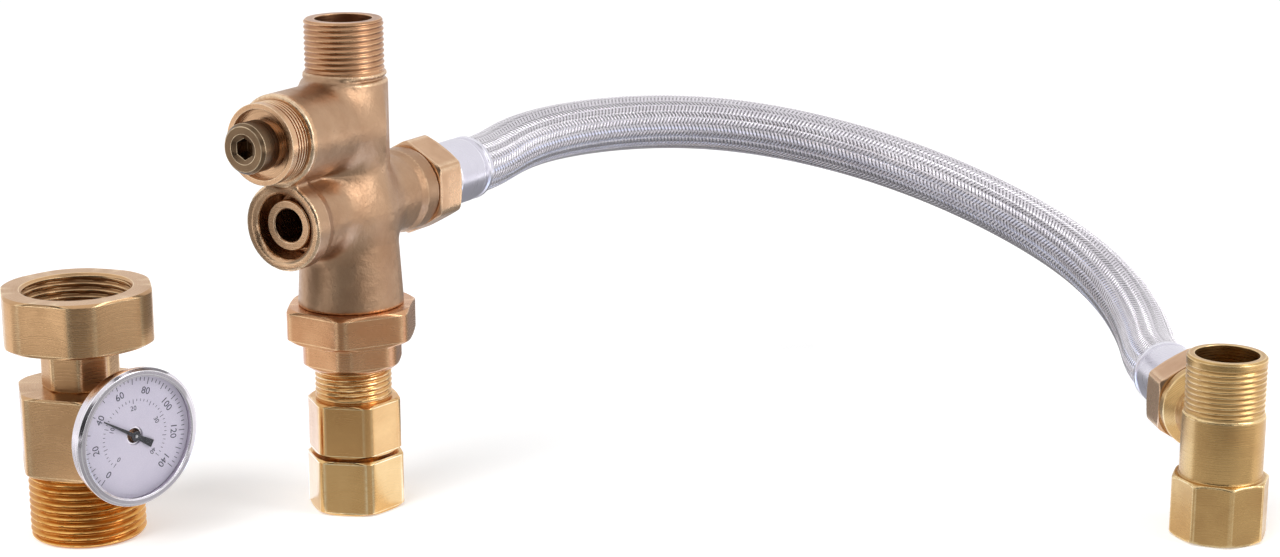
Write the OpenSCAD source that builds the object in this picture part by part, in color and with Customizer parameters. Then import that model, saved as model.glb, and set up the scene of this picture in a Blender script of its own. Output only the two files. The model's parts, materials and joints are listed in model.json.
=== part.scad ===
// Thermostatic mixing valve with a braided flex hose, a tee and a thermometer adapter.
// Millimetres, +Z up. The origin is the centre of the valve's hot inlet mouth.

/* [Outlet and pipe threads] */
// Crest diameter of the male pipe threads
pipe_d = 26.4; // [25.4:0.2:28]
// Pitch of the pipe threads
pipe_pitch = 1.814; // [1.4:0.1:2]
// Depth of the thread grooves
thread_depth = 0.9; // [0.5:0.1:1.1]
// Length of the outlet thread on top of the valve
outlet_thread_l = 17.5; // [14:0.5:22]
// Bore of the outlet
outlet_bore_d = 19; // [15:0.5:20]
// Bore of the female pipe threads
socket_d = 24.1; // [23:0.1:25]

/* [Valve body] */
// Diameter of the slim upper body
upper_d = 28.4; // [28:0.2:31]
// Diameter of the lower body under the ports
lower_d = 33; // [32:0.5:38]
// Diameter of the skirt where the bonnet screws in
skirt_d = 35.6; // [35:0.2:40]
// Height of the cross ports above the skirt's foot
cross_rise = 33.3; // [31:0.5:38]
// Height of the cartridge port above the cross ports
cartridge_rise = 29; // [28.6:0.2:34]
// Height of the body above the cartridge port's centre
crown_rise = 17; // [16:0.5:22]
// Plan direction of the hose port, in degrees from +X
port_angle = 60; // [45:1:75]
// Diameter of the hose port's boss
hose_boss_d = 29; // [28:0.5:30]
// Reach of the hose port's boss from the valve's axis
hose_boss_l = 33; // [31:0.5:40]
// Diameter of the side port's rim
side_rim_d = 29.4; // [28:0.2:31]
// Reach of the side port's rim from the valve's axis
side_port_l = 36; // [34:0.5:42]
// Bore of the side port's mouth
side_mouth_d = 21.5; // [20.5:0.1:23]
// Depth of the side port's mouth
side_mouth_l = 12; // [9:0.5:14]
// Diameter of the cartridge port's boss
cartridge_boss_d = 30; // [29:0.5:33]
// Reach of the cartridge port's boss from the valve's axis
cartridge_boss_l = 38; // [36:0.5:42]

/* [Inlet bonnet] */
// Size across flats of the large hexagon
bonnet_af = 41; // [39:0.5:46]
// Height of the large hexagon
bonnet_hex_h = 11.6; // [9:0.2:15]
// Size across flats of the small collar
collar_af = 32; // [30:0.5:36]
// Height of the small collar
collar_h = 9.9; // [8:0.1:12]
// Length of the bonnet's thread inside the body
bonnet_thread_l = 12.8; // [10:0.2:14]
// Diameter of the bonnet's thread
bonnet_thread_d = 28; // [27:0.2:29]

/* [Inlet adapter and swivel nut] */
// Size across flats of the swivel nut
swivel_af = 30; // [29:0.5:34]
// Height of the swivel nut
swivel_h = 19; // [17:0.5:24]
// Gap between the swivel nut and the adapter's hexagon
swivel_gap = 1.1; // [0.5:0.1:2]
// Size across flats of the inlet adapter
adapter_af = 29; // [28:0.5:33]
// Height of the inlet adapter's hexagon
adapter_hex_h = 18.4; // [14:0.2:22]
// Length of the adapter's thread that shows under the collar
adapter_show = 11.2; // [6:0.2:14]
// Length of the adapter's thread inside the bonnet
adapter_grip = 11; // [8:0.5:12]
// Bore of the waterway through the adapter
adapter_bore_d = 16; // [12:0.5:17]
// Diameter of the adapter's tail inside the swivel nut's lip
tail_d = 20.4; // [19:0.2:21]

/* [Hose] */
// Outer diameter of the braid
hose_d = 20.5; // [19:0.5:21]
// Wall of the braid
braid_wall = 0.95; // [0.7:0.05:1.2]
// Wall of the rubber liner
liner_wall = 1.7; // [1.2:0.1:1.75]
// Size across flats of the hose nuts
hose_nut_af = 29; // [28:0.5:32]
// Length of the hose nuts
hose_nut_l = 17.2; // [16:0.2:20]
// Diameter of the port's nipple inside the hose nut
nipple_d = 20.8; // [20:0.1:21.2]
// Length of the port's nipple
nipple_l = 9; // [7:0.5:11]
// Bore of the waterway through the nipples
nipple_bore_d = 15; // [12:0.5:16]
// Diameter of the hose's brass tail
insert_d = 14.4; // [13:0.1:14.6]
// Bore of the hose's brass tail
insert_bore_d = 10.2; // [9:0.1:12]
// Outer diameter of the crimped ferrules
ferrule_d = 22.8; // [22.6:0.1:24]
// Length of the crimped ferrules
ferrule_l = 21; // [18:0.5:24]
// Wall at the closed end of the ferrules
ferrule_end = 2; // [1.5:0.1:3]

/* [Tee] */
// Distance of the tee from the valve along X
tee_x = 290; // [270:5:320]
// Distance of the tee from the valve along Y
tee_y = -31; // [-60:1:0]
// Plan direction of the tee's side port, in degrees from +X
tee_angle = 97; // [85:1:110]
// Size across flats of the octagonal foot
tee_af = 30.3; // [29:0.1:34]
// Height of the octagonal foot
tee_foot_h = 20.7; // [18:0.1:24]
// Diameter of the tee's round body
tee_body_d = 27.3; // [27:0.1:29]
// Height of the round body above the foot
tee_body_h = 21.8; // [19:0.1:26]
// Length of the tee's male thread
tee_thread_l = 19.5; // [15:0.5:22]
// Bore through the tee
tee_bore_d = 21; // [17:0.5:21.5]
// Depth of the tee's female thread
tee_socket_l = 17; // [14:0.5:18]
// Height of the side port's centre
tee_port_z = 37.5; // [35:0.5:40]
// Reach of the side port's boss from the tee's axis
tee_boss_l = 23; // [22:0.5:28]

/* [Cartridge] */
// Diameter of the cartridge chamber
chamber_d = 23.6; // [22.6:0.2:24]
// Diameter of the spindle's stem
stem_d = 8; // [7:0.1:8.4]
// Diameter of the spindle's cap
cap_d = 16.5; // [15:0.5:18]
// Length of the spindle's cap
cap_l = 8.3; // [7:0.1:10]
// Size across flats of the key socket
key_af = 6; // [4:0.5:7]
// Depth of the key socket
key_depth = 6; // [4:0.5:7]
// Diameter of the adjuster's ribbed collar
ribbed_d = 26.6; // [26:0.2:28]
// Length of the adjuster's ribbed collar
ribbed_l = 8; // [6:0.2:10]
// Number of ribs on the collar
ribs = 4; // [3:1:5]
// Travel of the shuttle to each side of rest
shuttle_travel = 1.2; // [0.8:0.1:1.4]

/* [Check valves] */
// Diameter of the check housings
check_d = 17.8; // [17:0.1:18]
// Length of the check housings
check_l = 14; // [13:0.5:15]
// Opening travel of the check poppets
check_lift = 3; // [2:0.2:3.4]

/* [Thermometer adapter] */
// Distance of the adapter from the valve along X
unit_x = -86.5; // [-120:0.5:-85]
// Distance of the adapter from the valve along Y
unit_y = -28; // [-60:1:0]
// Crest diameter of the adapter's male thread
unit_thread_d = 37.9; // [36:0.1:39]
// Pitch of the adapter's male thread
unit_pitch = 2.309; // [1.8:0.1:2.4]
// Length of the adapter's male thread
unit_thread_l = 23.5; // [16:0.5:26]
// Size across flats of the adapter's hexagon
unit_af = 40; // [39.5:0.5:41]
// Height of the adapter's hexagon
unit_hex_h = 27.5; // [26:0.5:36]
// Size across flats of the octagonal neck
neck_af = 24; // [22:0.5:26]
// Height of the octagonal neck
neck_h = 14.4; // [12:0.2:20]
// Size across flats of the union nut
union_af = 48; // [45:0.5:52]
// Height of the union nut
union_h = 18; // [16:0.5:22]
// Bore of the union nut's mouth
union_mouth_d = 35; // [34:0.1:36]
// Waterway through the adapter
unit_bore_d = 17; // [12:0.5:18]

/* [Dial thermometer] */
// Outer diameter of the bezel
dial_d = 46; // [42:0.5:48]
// Height of the dial's centre
dial_z = 39.5; // [37.5:0.5:42]
// Plan direction that the dial faces, in degrees from +X
dial_angle = -44.5; // [-70:0.5:-40]
// Distance of the case's back from the adapter's axis
dial_back = 25.2; // [25:0.2:28]
// Depth of the case
case_depth = 7; // [6:0.2:9]
// Diameter of the thermometer's stem
stem_tube_d = 6; // [5:0.2:7]
// Number of marks around the dial
marks = 28; // [14:1:56]
// Sweep of the scale, in degrees
scale_sweep = 270; // [200:10:300]
// Pointer's place, in degrees clockwise from the start of the scale
pointer_at = 77; // [20:1:200]

/* [Hidden] */

$fn = 64;
// Clearance that a turning or sliding fit runs with
run_gap = 0.08;
// Clearance between a screwed or pushed-in piece and its seat
seat_gap = 0.05;
// Clearance between curved faces that move past each other
free_gap = 0.35;
// How far a cut runs past the face that it opens
over = 1;
// Rounding of the turned corners of a hexagon
turn = 1.2;

// Heights of the valve's stack, from the inlet mouth up
adapter_z = swivel_h + swivel_gap;
adapter_top = adapter_z + adapter_hex_h;
collar_z = adapter_top + adapter_show;
bonnet_z = collar_z + collar_h;
skirt_z = bonnet_z + bonnet_hex_h;
cross_z = skirt_z + cross_rise;
cartridge_z = cross_z + cartridge_rise;
crown_z = cartridge_z + crown_rise;
outlet_z = crown_z + outlet_thread_l;
adapter_tip = collar_z + adapter_grip;
// The adapter's short thread is cut a little under size
adapter_thread_d = pipe_d - 0.4;
bonnet_tip = skirt_z + bonnet_thread_l;
skirt_h = 21.8;
// Taper from the lower to the upper body, and the neck and ring under the outlet thread
shoulder_h = 13;
ring_h = 1.6;
ring_d = pipe_d + 1.2;
neck_ring_h = 1;
// Flared rims of the ports
rim_l = 6;
flare_l = 4;
side_angle = port_angle + 180;

// The swivel nut's lip holds the adapter's flange
lip_h = 3;
lip_z = swivel_h - lip_h;
flange_h = 2;
flange_z = lip_z - 0.3 - flange_h;
flange_d = socket_d - 2 * free_gap;
gasket_h = 1.5;
gasket_z = flange_z - gasket_h;

// The hose ends, measured from the face of the boss that they screw onto
washer_h = 2;
insert_flange_h = 2.5;
insert_flange_d = nipple_d - 0.6;
nut_start = 0.3;
nut_lip = 3.4;
nut_bore_d = nipple_d + 2 * free_gap;
insert_z = nipple_l + washer_h;
ferrule_z = nut_start + hose_nut_l + 0.5;
hose_z = ferrule_z + ferrule_end;
hose_mouth = ferrule_z + ferrule_l;
barbs = 4;

// Check valves
check_wall = 1.7;
check_seat_h = 2;
poppet_d = check_d - 2 * check_wall - 2 * free_gap;
poppet_h = 1.8;
guide_d = 3.2;
guide_h = 3;
check_pocket_d = check_d + 2 * seat_gap;
hot_check_z = skirt_z - 7.2;
cold_check_l = 6;
strainer_d = nipple_bore_d - 4.8;
check_ring_h = 1.2;

// The cartridge, measured along its port from the valve's axis
chamber_step = 2;
rear_d = 17;
rear_depth = 8;
bonnet_grip = 8;
travel_room = shuttle_travel + 0.8;
bonnet_face = cartridge_boss_l + ribbed_l;
seal_pocket_d = stem_d + 2;
web_l = chamber_step + travel_room;
web_h = 1.5;
sleeve_l = 10;
bulb_d = 8;
flange_l = web_l + web_h;
carrier_l = 13;
carrier_h = 12;
screw_d = 6;
screw_l = 19;
clip_h = 1.2;
clip_l = cartridge_boss_l - bonnet_grip - clip_h - 0.6;

// Turn of the hexagons and octagons about their axes
bonnet_turn = 27;
adapter_turn = -8;
tee_foot_turn = 2;
neck_turn = 11;
union_turn = 105;

// The tee
tee_body_z = tee_foot_h + tee_body_h;
tee_top = tee_body_z + tee_thread_l;

// The thermometer adapter
unit_hex_z = unit_thread_l;
neck_z = unit_hex_z + unit_hex_h;
neck_top = neck_z + neck_h;
union_z = neck_top + 0.6;
union_lip = 2.7;
tail_flange_z = union_z + union_lip + 0.3;
tail_flange_h = 2.5;
tail_flange_d = union_mouth_d - 2 * free_gap;
union_gasket_h = 2;
union_relief_h = 0.3 + tail_flange_h + union_gasket_h + 0.3;
neck_turned_d = neck_af - 0.2;
neck_plug_l = neck_z - dial_z - stem_tube_d / 2 - 2;
neck_plug_d = 22;

// The thermometer, measured from the back of its case
case_wall = 0.8;
case_d = dial_d - 2.4;
face_t = 0.6;
face_l = 3.4;
face_d = case_d - 2 * case_wall - 0.2;
mark_t = 0.1;
pointer_l = face_l + face_t + 0.5;
pointer_t = 0.4;
pointer_r = 0.66 * face_d / 2;
tail_r = 0.34 * face_d / 2;
lens_l = case_depth - 1.3;
lens_t = 1;
shaft_d = 1;
stem_wall = 0.5;
stem_reach = 6;
bush_af = 13;
bush_thread_d = stem_tube_d + 2;

// Route of the hose between the ferrules: control points of one smooth curve
hose_route = [[57, 101, 110], [123, 158, 106], [205, 169, 85], [272, 127, 57], [284, 74, 41]];
// Length over which the hose leaves each ferrule straight
hose_lead = 16;
// Rings of the swept tubes in each span of the curve, and sides of each ring
span_rings = 4;
tube_sides = 20;

// A plan direction as a vector
function plan(a) = [cos(a), sin(a), 0];

// The two ends of the hose and the ways it leaves them
valve_boss = [0, 0, cross_z] + hose_boss_l * plan(port_angle);
tee_boss = [tee_x, tee_y, tee_port_z] + tee_boss_l * plan(tee_angle);
valve_mouth = valve_boss + hose_mouth * plan(port_angle);
tee_mouth = tee_boss + hose_mouth * plan(tee_angle);
hose_frame = concat(
    [for (i = [0:2]) valve_mouth], [valve_mouth + hose_lead * plan(port_angle)],
    hose_route,
    [tee_mouth + hose_lead * plan(tee_angle)], [for (i = [0:2]) tee_mouth]);

// A point of a cubic B-spline span
function spline_point(p, i, t) =
    (pow(1 - t, 3) * p[i] + (3 * pow(t, 3) - 6 * t * t + 4) * p[i + 1]
    + (-3 * pow(t, 3) + 3 * t * t + 3 * t + 1) * p[i + 2] + pow(t, 3) * p[i + 3]) / 6;

// The hose's centre line, straight inside both ferrules
hose_line = concat(
    [valve_boss + (hose_z + seat_gap) * plan(port_angle)],
    [for (i = [0:len(hose_frame) - 4]) for (k = [0:span_rings - 1])
        spline_point(hose_frame, i, k / span_rings)],
    [tee_mouth, tee_boss + (hose_z + seat_gap) * plan(tee_angle)]);

// Direction of a line at one of its points
function unit(v) = v / norm(v);
function heading(line, i) = unit(line[min(i + 1, len(line) - 1)] - line[max(i - 1, 0)]);

// One ring of a swept tube, square to the line
function ring_points(line, i, r, sides) =
    let (ahead = heading(line, i), across = unit(cross(ahead, [0, 0, 1])), up = cross(across, ahead))
    [for (k = [0:sides - 1]) line[i] + r * (cos(360 * k / sides) * across + sin(360 * k / sides) * up)];

// Triangles between neighbouring rings, wound for an outer or an inner wall
function wall_faces(rings, sides, first, outward) =
    [for (i = [0:rings - 2]) for (k = [0:sides - 1])
        let (a = first + i * sides + k, b = first + i * sides + (k + 1) % sides, c = b + sides, d = a + sides)
        each outward ? [[a, b, c], [a, c, d]] : [[d, c, a], [c, b, a]]];

// Ring-shaped end cap between the outer and the inner wall
function cap_faces(sides, outer, inner, start) =
    [for (k = [0:sides - 1])
        let (n = (k + 1) % sides)
        start ? [outer + n, outer + k, inner + k, inner + n] : [outer + k, outer + n, inner + n, inner + k]];

// A tube swept along a line
module swept_tube(line, outer_r, inner_r, sides) {
    rings = len(line);
    inner = rings * sides;
    points = concat(
        [for (i = [0:rings - 1]) each ring_points(line, i, outer_r, sides)],
        [for (i = [0:rings - 1]) each ring_points(line, i, inner_r, sides)]);
    faces = concat(
        wall_faces(rings, sides, 0, true),
        wall_faces(rings, sides, inner, false),
        cap_faces(sides, 0, inner, true),
        cap_faces(sides, inner - sides, 2 * inner - sides, false));
    polyhedron(points, faces, convexity = 6);
}

// A round wire swept along a line
module swept_wire(line, r, sides) {
    rings = len(line);
    points = [for (i = [0:rings - 1]) each ring_points(line, i, r, sides)];
    faces = concat(
        wall_faces(rings, sides, 0, true),
        [[for (k = [sides - 1:-1:0]) k]],
        [[for (k = [0:sides - 1]) (rings - 1) * sides + k]]);
    polyhedron(points, faces, convexity = 6);
}

// A coil spring from z = 0 to z = h, its end turns closed
module coil(mean_d, wire_d, h, turns) {
    steps = 14;
    closed = 0.8;
    rise = h - wire_d;
    total = turns + 2 * closed;
    swept_wire(
        [for (i = [0:total * steps])
            let (turn_at = i / steps,
                up = max(0, min(1, (turn_at - closed) / turns)))
            [mean_d / 2 * cos(360 * turn_at), mean_d / 2 * sin(360 * turn_at), wire_d / 2 + rise * up]],
        wire_d / 2, 6);
}

// A tube along +Z
module tube(outer_d, inner_d, h) {
    difference() {
        cylinder(h = h, d = outer_d);
        translate([0, 0, -over]) cylinder(h = h + 2 * over, d = inner_d);
    }
}

// A hexagon or octagon whose corners are turned round at both ends
module turned_prism(sides, af, corner_d, h, turned) {
    intersection() {
        cylinder(h = h, d = af / cos(180 / sides), $fn = sides);
        rotate_extrude() polygon([
            [0, 0], [corner_d / 2 - turned, 0], [corner_d / 2, turned * 0.6],
            [corner_d / 2, h - turned * 0.6], [corner_d / 2 - turned, h], [0, h]]);
    }
}

// A male thread drawn as crests and grooves, with a chamfer at its tip
module thread(d, pitch, h) {
    r = d / 2;
    crests = floor((h - 0.8) / pitch);
    start = h - crests * pitch - 0.6;
    rotate_extrude() polygon(concat(
        [[0, 0], [r, 0]],
        [for (i = [0:crests - 1]) each [
            [r, start + (i + 0.10) * pitch], [r - thread_depth, start + (i + 0.42) * pitch],
            [r - thread_depth, start + (i + 0.52) * pitch], [r, start + (i + 0.84) * pitch]]],
        [[r, h - 0.7], [r - 0.7, h], [0, h]]));
}

// Puts its children on a level port: their +Z runs out along the plan direction
module at_port(centre, angle) {
    translate(centre) rotate([0, 90, angle]) children();
}

// ---- Valve body ----

module valve_body() {
    color("#be9673") difference() {
        union() {
            translate([0, 0, skirt_z]) cylinder(h = skirt_h, d1 = skirt_d, d2 = lower_d);
            translate([0, 0, skirt_z + skirt_h]) cylinder(h = cross_z - skirt_z - skirt_h, d = lower_d);
            translate([0, 0, cross_z]) cylinder(h = shoulder_h, d1 = lower_d, d2 = upper_d);
            translate([0, 0, cross_z]) cylinder(h = crown_z - ring_h - neck_ring_h - cross_z, d = upper_d);
            translate([0, 0, crown_z - ring_h - neck_ring_h]) cylinder(h = neck_ring_h + ring_h, d = pipe_d - 1);
            translate([0, 0, crown_z - ring_h]) cylinder(h = ring_h, d = ring_d);
            translate([0, 0, crown_z]) thread(pipe_d, pipe_pitch, outlet_thread_l);
            hose_port_boss();
            side_port_boss();
            at_port([0, 0, cartridge_z], side_angle) cylinder(h = cartridge_boss_l, d = cartridge_boss_d);
        }
        valve_waterways();
    }
}

// Boss and nipple that the hose nut screws onto
module hose_port_boss() {
    neck_d = hose_boss_d - 1.6;
    at_port([0, 0, cross_z], port_angle) {
        cylinder(h = hose_boss_l - rim_l, d = neck_d);
        translate([0, 0, hose_boss_l - rim_l - flare_l]) cylinder(h = flare_l, d1 = neck_d, d2 = hose_boss_d);
        translate([0, 0, hose_boss_l - rim_l]) cylinder(h = rim_l, d = hose_boss_d);
        translate([0, 0, hose_boss_l]) cylinder(h = nipple_l, d = nipple_d);
    }
}

// Boss of the side port, flared to its rim
module side_port_boss() {
    neck_d = side_rim_d - 3;
    at_port([0, 0, cross_z], side_angle) {
        cylinder(h = side_port_l - rim_l, d = neck_d);
        translate([0, 0, side_port_l - rim_l - flare_l]) cylinder(h = flare_l, d1 = neck_d, d2 = side_rim_d);
        translate([0, 0, side_port_l - rim_l]) cylinder(h = rim_l, d = side_rim_d);
    }
}

// Everything that is bored out of the valve body
module valve_waterways() {
    cross_pocket = cold_check_l + check_l;
    translate([0, 0, skirt_z - over])
        cylinder(h = bonnet_thread_l + over + 0.6, d = bonnet_thread_d + 2 * seat_gap);
    translate([0, 0, skirt_z]) cylinder(h = cartridge_z - skirt_z, d = check_pocket_d);
    translate([0, 0, cartridge_z]) cylinder(h = outlet_z - cartridge_z + over, d = outlet_bore_d);
    at_port([0, 0, cross_z], port_angle) {
        cylinder(h = cross_pocket, d = check_pocket_d);
        cylinder(h = hose_boss_l + nipple_l + over, d = nipple_bore_d);
    }
    at_port([0, 0, cross_z], side_angle) {
        cylinder(h = side_port_l, d = check_pocket_d);
        translate([0, 0, side_port_l - side_mouth_l]) cylinder(h = side_mouth_l + over, d = side_mouth_d);
        translate([0, 0, side_port_l - 1]) cylinder(h = 1 + over, d1 = side_mouth_d, d2 = side_mouth_d + 4);
    }
    at_port([0, 0, cartridge_z], side_angle) {
        translate([0, 0, chamber_step]) cylinder(h = cartridge_boss_l, d = chamber_d);
        translate([0, 0, -rear_depth]) cylinder(h = rear_depth + cartridge_boss_l, d = rear_d);
    }
}

// ---- Cartridge, along the cartridge port ----

module in_cartridge() {
    at_port([0, 0, cartridge_z], side_angle) children();
}

module adjuster_bonnet() {
    grip_l = cartridge_boss_l - bonnet_grip;
    seal_l = grip_l + 1.2;
    groove = ribbed_l / (ribs + 2);
    color("#b98f66") in_cartridge() difference() {
        union() {
            translate([0, 0, grip_l]) cylinder(h = bonnet_grip + 1, d = chamber_d - 2 * seat_gap);
            translate([0, 0, cartridge_boss_l + seat_gap]) cylinder(h = ribbed_l - seat_gap, d = ribbed_d);
        }
        translate([0, 0, seal_l]) tube(chamber_d + 1, chamber_d - 3.6, 2);
        for (i = [0:ribs - 1])
            translate([0, 0, cartridge_boss_l + groove * (i + 0.5)])
                tube(ribbed_d + 2, ribbed_d - 1.6, groove * 0.5);
        translate([0, 0, bonnet_face - 2.4]) tube(ribbed_d - 3.6, cap_d - 2, 2.4 + over);
        translate([0, 0, grip_l - over]) cylinder(h = bonnet_grip + ribbed_l + 2, d = stem_d + 2 * run_gap);
        translate([0, 0, grip_l + 1.5]) cylinder(h = 10, d = seal_pocket_d);
    }
}

module adjuster_seal() {
    color("#202020") in_cartridge()
        translate([0, 0, cartridge_boss_l - bonnet_grip + 2.2])
            rotate_extrude() translate([chamber_d / 2 - 0.95, 0]) circle(d = 1.6, $fn = 24);
}

module adjuster_spindle() {
    cap_z = bonnet_face + 0.3;
    color("#a98660") in_cartridge() difference() {
        union() {
            translate([0, 0, screw_l]) cylinder(h = 8, d = screw_d);
            translate([0, 0, screw_l + 8]) cylinder(h = cap_z - screw_l - 8 + 1, d = stem_d);
            translate([0, 0, cap_z]) cylinder(h = cap_l - 1, d = cap_d);
            translate([0, 0, cap_z + cap_l - 1]) cylinder(h = 1, d1 = cap_d, d2 = cap_d - 2);
        }
        translate([0, 0, clip_l - 0.1]) tube(stem_d + 2, stem_d - 1.6, clip_h + 0.2);
        for (l = seal_places()) translate([0, 0, l - 1.1]) tube(stem_d + 2, stem_d - 1.8, 2.2);
        translate([0, 0, cap_z + cap_l - key_depth])
            cylinder(h = key_depth + over, d = key_af / cos(30), $fn = 6);
        translate([0, 0, cap_z + cap_l - 0.8]) cylinder(h = 1.6, d1 = key_af + 0.8, d2 = key_af + 4);
    }
}

// Places of the spindle's two seals along the port
function seal_places() = [cartridge_boss_l - bonnet_grip + 4, cartridge_boss_l - bonnet_grip + 8.5];

module spindle_clip() {
    color("#c8c8c8") in_cartridge() translate([0, 0, clip_l])
        tube(stem_d + 4, stem_d - 1.6 + 2 * seat_gap, clip_h);
}

module spindle_seals() {
    color("#202020") in_cartridge()
        for (l = seal_places()) translate([0, 0, l])
            rotate_extrude() translate([(stem_d - 1.8 + seal_pocket_d) / 4, 0]) circle(d = 1.8, $fn = 24);
}

module element_carrier() {
    bore = screw_d + 2 * run_gap;
    color("#d8d4c8") in_cartridge() translate([0, 0, carrier_l]) difference() {
        union() {
            cylinder(h = carrier_h, d = screw_d + 8);
            cylinder(h = 2, d = screw_d + 11);
        }
        translate([0, 0, screw_l - carrier_l - travel_room]) cylinder(h = carrier_h, d = bore);
    }
}

module thermostat_element() {
    color("#b87333") in_cartridge() {
        translate([0, 0, -2]) cylinder(h = flange_l + 2, d = bulb_d);
        translate([0, 0, flange_l]) cylinder(h = 2, d = bulb_d + 4);
        translate([0, 0, flange_l + 2]) cylinder(h = 3, d = bulb_d - 1.6);
        translate([0, 0, flange_l + 5]) cylinder(h = carrier_l - flange_l - 5, d = 2.6);
    }
}

module mixing_shuttle() {
    sleeve_d = chamber_d - 2 * free_gap;
    color("#e4e0d4") in_cartridge() translate([0, 0, web_l]) difference() {
        union() {
            tube(sleeve_d, sleeve_d - 3, sleeve_l);
            cylinder(h = web_h, d = sleeve_d - 1);
        }
        translate([0, 0, -over]) cylinder(h = web_h + 2 * over, d = bulb_d + 2 * seat_gap);
        for (i = [0:5]) rotate(i * 60) translate([(sleeve_d + bulb_d) / 4, 0, -over])
            cylinder(h = web_h + 2 * over, d = 3.6);
    }
}

module return_spring() {
    color("#c4c4c4") in_cartridge()
        translate([0, 0, -rear_depth + seat_gap]) coil(12.6, 1.3, rear_depth + web_l - 2 * seat_gap, 4);
}

// ---- Side port and cold check, along the cross ports ----

module port_insert() {
    seated = side_port_l - side_mouth_l;
    color("#c49a6c") at_port([0, 0, cross_z], side_angle) difference() {
        union() {
            translate([0, 0, seated - 10]) cylinder(h = 10, d = check_pocket_d - 2 * seat_gap);
            translate([0, 0, seated - 1]) cylinder(h = side_mouth_l - 2, d = check_d - 0.8);
        }
        translate([0, 0, seated - 10 - over]) cylinder(h = 10 + side_mouth_l + over, d = 11);
    }
}

// A check valve along +Z: water comes in at z = 0 through the seat
module check_housing() {
    inner_d = check_d - 2 * check_wall;
    seat_d = poppet_d - 3.4;
    color("#e8e8e4") difference() {
        union() {
            tube(check_d, inner_d, check_l);
            tube(check_d - 1, seat_d, check_seat_h);
            translate([0, 0, check_l - guide_h]) {
                cylinder(h = guide_h - 0.4, d = guide_d + 3);
                for (a = [45:90:315]) rotate(a)
                    translate([0, -0.9, 0]) cube([check_d / 2 - 1, 1.8, guide_h - 0.4]);
            }
        }
        translate([0, 0, check_l - guide_h - over]) cylinder(h = guide_h + 2 * over, d = guide_d + 2 * run_gap);
    }
}

// The poppet's collar meets the guide when the valve is fully open
module check_poppet() {
    foot_z = check_seat_h + seat_gap;
    guide_z = check_l - guide_h;
    color("#d0ccc0") translate([0, 0, foot_z]) {
        cylinder(h = poppet_h, d1 = poppet_d - 0.6, d2 = poppet_d);
        cylinder(h = guide_z - foot_z - check_lift - 0.2, d = guide_d + 1.2);
        cylinder(h = guide_z - foot_z + guide_h * 0.7, d = guide_d);
    }
}

module check_spring() {
    base = check_seat_h + seat_gap + poppet_h;
    color("#c4c4c4") translate([0, 0, base + seat_gap])
        coil(guide_d + 3.4, 0.8, check_l - guide_h - base - 2 * seat_gap, 3);
}

// The cold check sits in the hose port and opens towards the valve's axis
module in_cold_check() {
    at_port([0, 0, cross_z], port_angle)
        translate([0, 0, cold_check_l + check_l]) rotate([180, 0, 0]) children();
}

module cold_check_housing() { in_cold_check() check_housing(); }
module cold_check_poppet() { in_cold_check() check_poppet(); }
module cold_check_spring() { in_cold_check() check_spring(); }

module cold_strainer() {
    length = nipple_l + 4;
    color("#c8c8c8") at_port([0, 0, cross_z], port_angle)
        translate([0, 0, hose_boss_l + nipple_l - length]) {
            tube(strainer_d, strainer_d - 0.8, length - 0.5);
            tube(strainer_d - 0.4, 2, 0.6);
            translate([0, 0, length - 1.2]) tube(nipple_bore_d - 2 * seat_gap, strainer_d - 0.4, 1.2);
        }
}

// ---- Inlet bonnet and hot check ----

module inlet_bonnet() {
    pocket_z = hot_check_z;
    color("#c8966e") difference() {
        union() {
            translate([0, 0, bonnet_z]) rotate(bonnet_turn) turned_prism(6, bonnet_af, bonnet_af * 1.12, bonnet_hex_h, 1.8);
            translate([0, 0, collar_z]) rotate(bonnet_turn)
                turned_prism(6, collar_af, collar_af * 1.08, collar_h - 1.6, 2.6);
            translate([0, 0, bonnet_z - 1.8]) cylinder(h = 2, d1 = collar_af, d2 = bonnet_af - 2);
            translate([0, 0, skirt_z - over]) cylinder(h = bonnet_thread_l + over, d = bonnet_thread_d);
        }
        translate([0, 0, skirt_z + seat_gap]) tube(bonnet_thread_d + 1, bonnet_thread_d - 3.2, 2.2);
        translate([0, 0, collar_z - over])
            cylinder(h = adapter_grip + over + 0.5, d = pipe_d - 2 * thread_depth + 2 * seat_gap);
        translate([0, 0, collar_z]) cylinder(h = bonnet_tip - collar_z + over, d = check_d - 5.4);
        translate([0, 0, pocket_z]) cylinder(h = bonnet_tip - pocket_z + over, d = check_pocket_d);
        translate([0, 0, pocket_z + check_l + 0.2]) tube(check_d + 2.2, check_d - 4, check_ring_h + 0.1);
    }
}

module bonnet_seal() {
    color("#202020") translate([0, 0, skirt_z + 1.2])
        rotate_extrude() translate([bonnet_thread_d / 2 - 0.8, 0]) circle(d = 1.5, $fn = 24);
}

module in_hot_check() {
    translate([0, 0, hot_check_z]) children();
}

module hot_check_housing() { in_hot_check() check_housing(); }
module hot_check_poppet() { in_hot_check() check_poppet(); }
module hot_check_spring() { in_hot_check() check_spring(); }

module hot_check_ring() {
    color("#c8c8c8") in_hot_check() translate([0, 0, check_l + 0.25])
        tube(check_d + 2, check_d - 2, check_ring_h - 0.1);
}

// ---- Inlet adapter and swivel nut ----

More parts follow.
